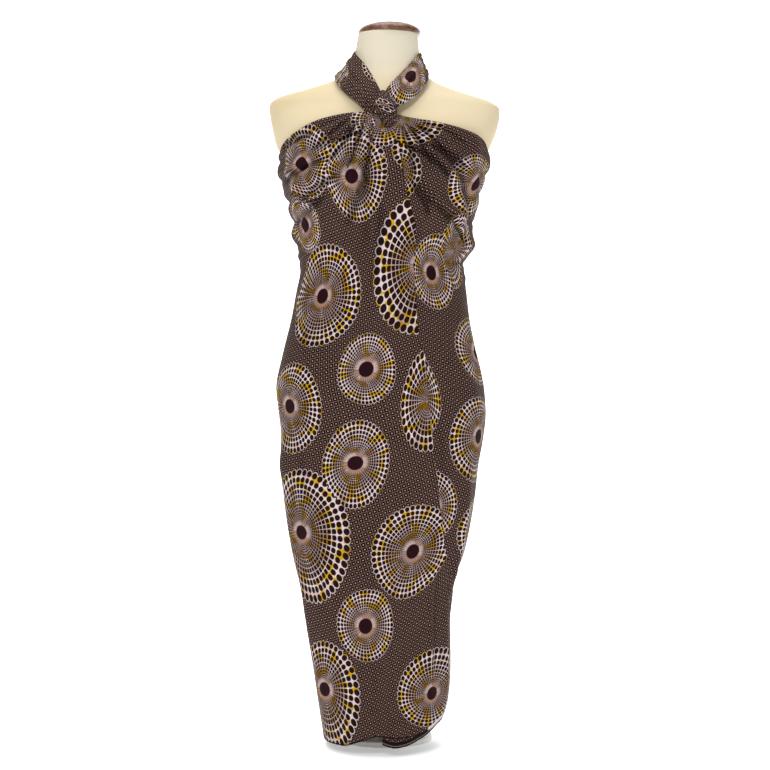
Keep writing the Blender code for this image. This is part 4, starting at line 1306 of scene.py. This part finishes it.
def print_ground(shader, print_map):
    """The ground of the print: a net of fine lines, with a small dot in each mesh."""
    cells = shader.scaled(print_map, 1.0 / GRID_PITCH)
    x, y, _ = shader.parts(shader.vector("FRACTION", cells))
    far = shader.math("MAXIMUM", shader.from_middle(x), shader.from_middle(y))
    net = shader.blend(shader.step(far, *GRID_LINE_EDGE), BROWN_DARK, GRID_LINE)
    return shader.blend(shader.step(far, *GRID_DOT_EDGE), GRID_DOT, net)


def print_roundel(shader, print_map, best, best_reach, best_disc, best_half):
    """The colour inside a roundel, and how much of the point is inside one."""
    disc_x, disc_y, spokes = shader.parts(best_disc)
    half_x, half_y, disc_radius = shader.parts(best_half)
    # The rings lie round the disc near it, and round the roundel's own middle at its rim
    fade = shader.math("SUBTRACT", 1.0, shader.times(best_reach, best_reach), clamp=True)
    from_disc = shader.vector("SUBTRACT", best, shader.scaled(shader.join(disc_x, disc_y), fade))
    x, y, _ = shader.parts(from_disc)
    reach = shader.vector("LENGTH", shader.join(x, y))
    # The same way in metres, from the disc's edge. Without a disc it is too far for hairlines
    way = shader.vector("LENGTH", shader.join(shader.times(x, half_x), shader.times(y, half_y)))
    no_disc = shader.rest(shader.step(disc_radius, 0.0, 0.5 * DISC_RADIUS))
    past_disc = shader.math("ADD", shader.math("SUBTRACT", way, disc_radius), no_disc)
    # Spokes and rings cut the roundel into cells that are as long as they are wide
    angle = shader.math("ARCTAN2", y, x)
    rate = shader.math("DIVIDE", spokes, 2 * math.pi)
    ring = shader.times(shader.math("LOGARITHM", reach, math.e), shader.times(rate, -1.0))
    own_ring = shader.math("MAXIMUM", shader.math("FLOOR", ring), 0.0)
    across = shader.math("SUBTRACT", shader.math("FRACT", shader.times(angle, rate)), 0.5)
    along = shader.math("SUBTRACT", shader.math("SUBTRACT", ring, own_ring), 0.5)
    # Each cell has a dot, round near the rim and square further in
    away = shader.vector("LENGTH", shader.join(across, along))
    square = shader.math("MAXIMUM", shader.math("ABSOLUTE", across), shader.math("ABSOLUTE", along))
    dot_reach = shader.mix("FLOAT", shader.step(reach, *DOT_SQUARE_EDGE), square, away)
    size = shader.mix("FLOAT", shader.step(ring, *DOT_RINGS), DOT_SIZE_RIM, DOT_SIZE_INNER)
    dot = shader.step(shader.math("SUBTRACT", size, dot_reach), -DOT_SOFT, DOT_SOFT)
    colours = roundel_colours(shader, print_map, angle, reach, dot, past_disc)
    body = shader.step(ring, *BODY_EDGE)
    rim_dots = shader.rest(shader.step(away, *RIM_DOT_EDGE))
    return colours, shader.math("MAXIMUM", body, rim_dots)


def roundel_colours(shader, print_map, angle, reach, dot, past_disc):
    """The dots in their pale net with its warm patches, the hairlines round the disc, and the disc."""
    turned = (shader.math("SINE", angle), shader.math("COSINE", angle))
    swirl = shader.join(*turned, shader.times(reach, SWIRL_REACH))
    yellow = shader.step(shader.noise(print_map, YELLOW_FREQUENCY, 2.0), *YELLOW_EDGE)
    lead = shader.times(shader.rest(shader.step(reach, *WARM_REACH)), WARM_LEAD)
    warm = shader.step(shader.math("ADD", lead, shader.noise(swirl, WARM_FREQUENCY, 2.0)), *WARM_EDGE)
    net = shader.blend(yellow, LILAC_WHITE, YELLOW)
    net = shader.blend(shader.times(warm, WARM_SHARE), net, ORANGE_BROWN)
    hair = shader.math("ABSOLUTE", shader.math("SINE", shader.times(angle, HAIRLINES)))
    hairlines = shader.blend(shader.step(hair, *HAIRLINE_EDGE), ORANGE_BROWN, LILAC_BROWN)
    glow = shader.step(shader.noise(swirl, GLOW_FREQUENCY, 1.0), *GLOW_EDGE)
    hairlines = shader.blend(shader.times(glow, GLOW_SHARE), hairlines, LILAC_WHITE)
    dots = shader.blend(dot, net, BROWN_DARK)
    outside = shader.blend(shader.step(past_disc, *HAIRLINE_FADE), hairlines, dots)
    return shader.blend(shader.step(past_disc, 0.0, DISC_EDGE), DISC_COLOUR, outside)


def print_edges(shader, printed, band, selvedge):
    """The print with a dark band above the hem, painted shade where the under layer shows, and, where
    asked for, the unprinted selvedge.
    """
    above = shader.parts(shader.uv("edges"))[1]
    # Painted shade: a dark band above the hem, wide on the under layer where it shows below the outer
    # layer, and a thin dark edge on the other hems
    printed = shader.blend(shader.step(above, band, band + BAND_SOFT), BROWN_DARK, printed)
    if band > BAND_LINE:
        line = shader.math("COMPARE", above, BAND_LINE, BAND_LINE_HALF)
        printed = shader.blend(line, printed, BAND_LINE_GREY)
    if selvedge:
        x = shader.parts(shader.place())[0]
        right = shader.step(x, SELVEDGE_START, SELVEDGE_START + SELVEDGE_SOFT)
        low = shader.rest(shader.step(above, SELVEDGE_WIDTH - SELVEDGE_EDGE, SELVEDGE_WIDTH))
        printed = shader.blend(shader.times(right, low), printed, SELVEDGE_COLOUR)
    return printed


def cloth_material(name, places, band=PLAIN_BAND, selvedge=False):
    """Printed cotton: the ground, the roundels, the edges, the weave and the seam at the hem.

    Painted shade makes it a little darker in the creases, where less light reaches.
    """
    shader = Shader(name)
    print_map = shader.uv("print")
    colours, inside = print_roundel(shader, print_map, *nearest_roundel(shader, print_map, places))
    printed = shader.blend(inside, print_ground(shader, print_map), colours)
    printed = print_edges(shader, printed, band, selvedge)
    tone = shader.noise(print_map, TONE_FREQUENCY, 4.0)
    # Painted shade: the cloth is darker where the creases' troughs are deep
    crease = shader.parts(shader.uv("creases"))[0]
    trough = shader.step(shader.times(crease, -1.0), TROUGH_START, TROUGH_FULL)
    painted_shade_factor = shader.rest(shader.times(trough, TROUGH_SHADE))
    brightness = shader.math("ADD", shader.times(tone, TONE_SWING), TONE_BASE)
    shaded = shader.tree.nodes.new("ShaderNodeHueSaturation")
    shader.put(shaded.inputs["Color"], printed)
    shader.put(shaded.inputs["Value"], shader.times(brightness, painted_shade_factor))
    warp, weft, _ = shader.parts(shader.scaled(print_map, 2 * math.pi / THREAD_PITCH))
    threads = shader.times(shader.math("SINE", warp), shader.math("SINE", weft))
    aside = shader.parts(shader.uv("edges"))[0]
    stitch = shader.math("COMPARE", aside, STITCH_PLACE, STITCH_HALF)
    normal = shader.bump(threads, THREAD_HIGH, 0.5)
    normal = shader.bump(shader.noise(print_map, RUMPLE_FREQUENCY, 3.0), RUMPLE_HIGH, 0.5, normal)
    normal = shader.bump(stitch, STITCH_DEEP, 0.6, normal)
    shader.set(
        Base_Color=shaded.outputs[0],
        Roughness=shader.math("ADD", shader.times(tone, COTTON_ROUGHNESS_SWING), COTTON_ROUGHNESS),
        Normal=normal,
        Specular_IOR_Level=COTTON_SPECULAR,
    )
    return shader.material


def form_material():
    """Cream jersey stretched over the form, with a fine knit, and paler up the neck."""
    shader = Shader("cream_jersey")
    place = shader.place()
    tone = shader.noise(place, 7.0, 4.0)
    base = shader.blend(shader.step(tone, 0.3, 0.7), JERSEY, JERSEY_SHADE)
    high = shader.step(shader.parts(place)[2], NECK_PALE_START, NECK_PALE_FULL)
    base = shader.blend(shader.times(high, NECK_PALE_SHARE), base, JERSEY_PALE)
    x, y, z = shader.parts(shader.scaled(place, 2 * math.pi / RIB_PITCH))
    ribs = shader.times(shader.math("SINE", shader.math("ADD", x, y)), shader.math("SINE", z))
    normal = shader.bump(ribs, RIB_HIGH, 0.5)
    normal = shader.bump(shader.noise(place, 240.0, 2.0), 0.0001, 0.5, normal)
    shader.set(
        Base_Color=base,
        Roughness=shader.math("ADD", shader.times(tone, 0.1), 0.68),
        Normal=normal,
        Sheen_Weight=0.05,
        Specular_IOR_Level=0.12,
    )
    return shader.material


def wood_material():
    """Varnished dark wood with its grain along the cap."""
    shader = Shader("varnished_wood")
    stretched = shader.vector("MULTIPLY", shader.place(), WOOD_STRETCH)
    grain = shader.noise(stretched, 3.0, 6.0)
    shader.set(
        Base_Color=shader.blend(shader.step(grain, 0.32, 0.68), WOOD_DARK, WOOD_LIGHT),
        Roughness=shader.math("ADD", shader.times(grain, 0.2), 0.28),
        Normal=shader.bump(grain, 0.0003, 0.4),
        Coat_Weight=0.3,
        Coat_Roughness=0.2,
    )
    return shader.material


def enamel_material():
    """White enamelled steel with a faint orange-peel surface."""
    shader = Shader("white_enamel")
    place = shader.place()
    dust = shader.noise(place, 40.0, 3.0)
    shader.set(
        Base_Color=shader.blend(dust, ENAMEL, ENAMEL_DUST),
        Roughness=shader.math("ADD", shader.times(dust, 0.15), 0.3),
        Normal=shader.bump(shader.noise(place, 600.0, 1.0), 0.0001, 0.3),
    )
    return shader.material


def give(piece, material, slot, *nodes):
    """Finishes a piece with its material and hides the solids it stands for."""
    piece.data.materials.clear()
    piece.data.materials.append(material)
    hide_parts(*nodes)


def build_camera():
    """A camera straight in front, which takes in the photograph's frame."""
    data = bpy.data.cameras.new("camera")
    data.sensor_width = SENSOR
    data.lens = SENSOR * CAMERA_DISTANCE / FRAME_SIZE
    camera = bpy.data.objects.new("camera", data)
    camera.location = (0.0, -CAMERA_DISTANCE, CAMERA_HEIGHT)
    camera.rotation_euler = (math.radians(90.0), 0.0, 0.0)
    bpy.context.scene.collection.objects.link(camera)
    bpy.context.scene.camera = camera
    bpy.context.scene.view_settings.view_transform = "Standard"


def add_light(name, place, aim, power, size):
    data = bpy.data.lights.new(name, "AREA")
    data.energy = power
    data.size = size
    light = bpy.data.objects.new(name, data)
    light.location = place
    light.rotation_euler = (Vector(aim) - Vector(place)).to_track_quat("-Z", "Y").to_euler()
    bpy.context.scene.collection.objects.link(light)


def build_studio():
    """A pale floor that curves up behind, an even white surround and four soft lights."""
    rows = [(FLOOR_FRONT, 0.0), (FLOOR_BEND, 0.0)]
    for angle in np.radians(np.linspace(0.0, 90.0, BEND_STEPS)):
        rows.append((FLOOR_BEND + BEND_RADIUS * math.sin(angle), BEND_RADIUS * (1.0 - math.cos(angle))))
    rows.append((FLOOR_BEND + BEND_RADIUS, WALL_TOP))
    points = [(x, y, z) for y, z in rows for x in (-FLOOR_HALF, FLOOR_HALF)]
    faces = [(2 * i, 2 * i + 1, 2 * i + 3, 2 * i + 2) for i in range(len(rows) - 1)]
    mesh = bpy.data.meshes.new("studio")
    mesh.from_pydata(points, [], faces)
    mesh.shade_smooth()
    studio = bpy.data.objects.new("studio", mesh)
    bpy.context.scene.collection.objects.link(studio)
    shader = Shader("studio_white")
    shader.set(
        Base_Color=(FLOOR_WHITE, FLOOR_WHITE, FLOOR_WHITE, 1.0),
        Roughness=0.9,
        Emission_Color=WHITE,
        Emission_Strength=FLOOR_GLOW,
    )
    mesh.materials.append(shader.material)
    world = bpy.data.worlds.new("surround")
    world.use_nodes = True
    background = world.node_tree.nodes["Background"]
    background.inputs["Color"].default_value = WHITE
    background.inputs["Strength"].default_value = SURROUND
    bpy.context.scene.world = world
    for name, place, aim, power, size in LIGHTS:
        add_light(name, place, aim, power, size)


build_camera()
build_studio()

cloth_over = build_over_panel()
cloth_under = build_under_panel()
cloth_back = build_back()
over_print = cloth_material("print_over", roundel_places(LEFT_SIDE, OVER_LAST), selvedge=True)
# The under layer's wide dark hem band is painted shade where it shows below the outer layer
under_print = cloth_material("print_under", roundel_places(0.0, RIGHT_SIDE), HEM_SHADE_BAND)
back_print = cloth_material("print_back", roundel_places(RIGHT_SIDE, LEFT_SIDE))
give(cloth_over, over_print, "printed_cotton", "sarong_over_panel")
give(cloth_under, under_print, "printed_cotton", "sarong_under_panel")
give(cloth_back, back_print, "printed_cotton", "sarong_back")

strap_print = cloth_material("print_straps", STRAP_ROUNDELS)
strap_left = build_strap("strap_left", STRAP_LEFT, STRAP_LEFT_PRINT, phase=0.4)
strap_right = build_strap("strap_right", STRAP_RIGHT, STRAP_RIGHT_PRINT, phase=2.1)
twist = build_bundle("twist", TWIST, TWIST_PRINT, folds=6, winding=1.6, depth=0.22)
knot = build_bundle("knot", KNOT, KNOT_PRINT, folds=5, winding=0.9, depth=0.20)
end_left = build_end("end_left", END_LEFT, END_LEFT_PRINT, phase=0.3)
end_right = build_end("end_right", END_RIGHT, END_RIGHT_PRINT, phase=1.9)
give(strap_left, strap_print, "printed_cotton", "sarong_strap_left")
give(strap_right, strap_print, "printed_cotton", "sarong_strap_right")
give(twist, strap_print, "printed_cotton", "sarong_twist")
give(knot, strap_print, "printed_cotton", "sarong_knot")
give(end_left, strap_print, "printed_cotton", "sarong_end_left")
give(end_right, strap_print, "printed_cotton", "sarong_end_right")

give(build_form(), form_material(), "form_jersey", "form_torso")
give(build_cap(), wood_material(), "turned_wood", "form_cap")
enamel = enamel_material()
for node in ("form_pole", "form_base"):
    solid = bpy.data.objects[node]
    solid.data.materials.clear()
    solid.data.materials.append(enamel)
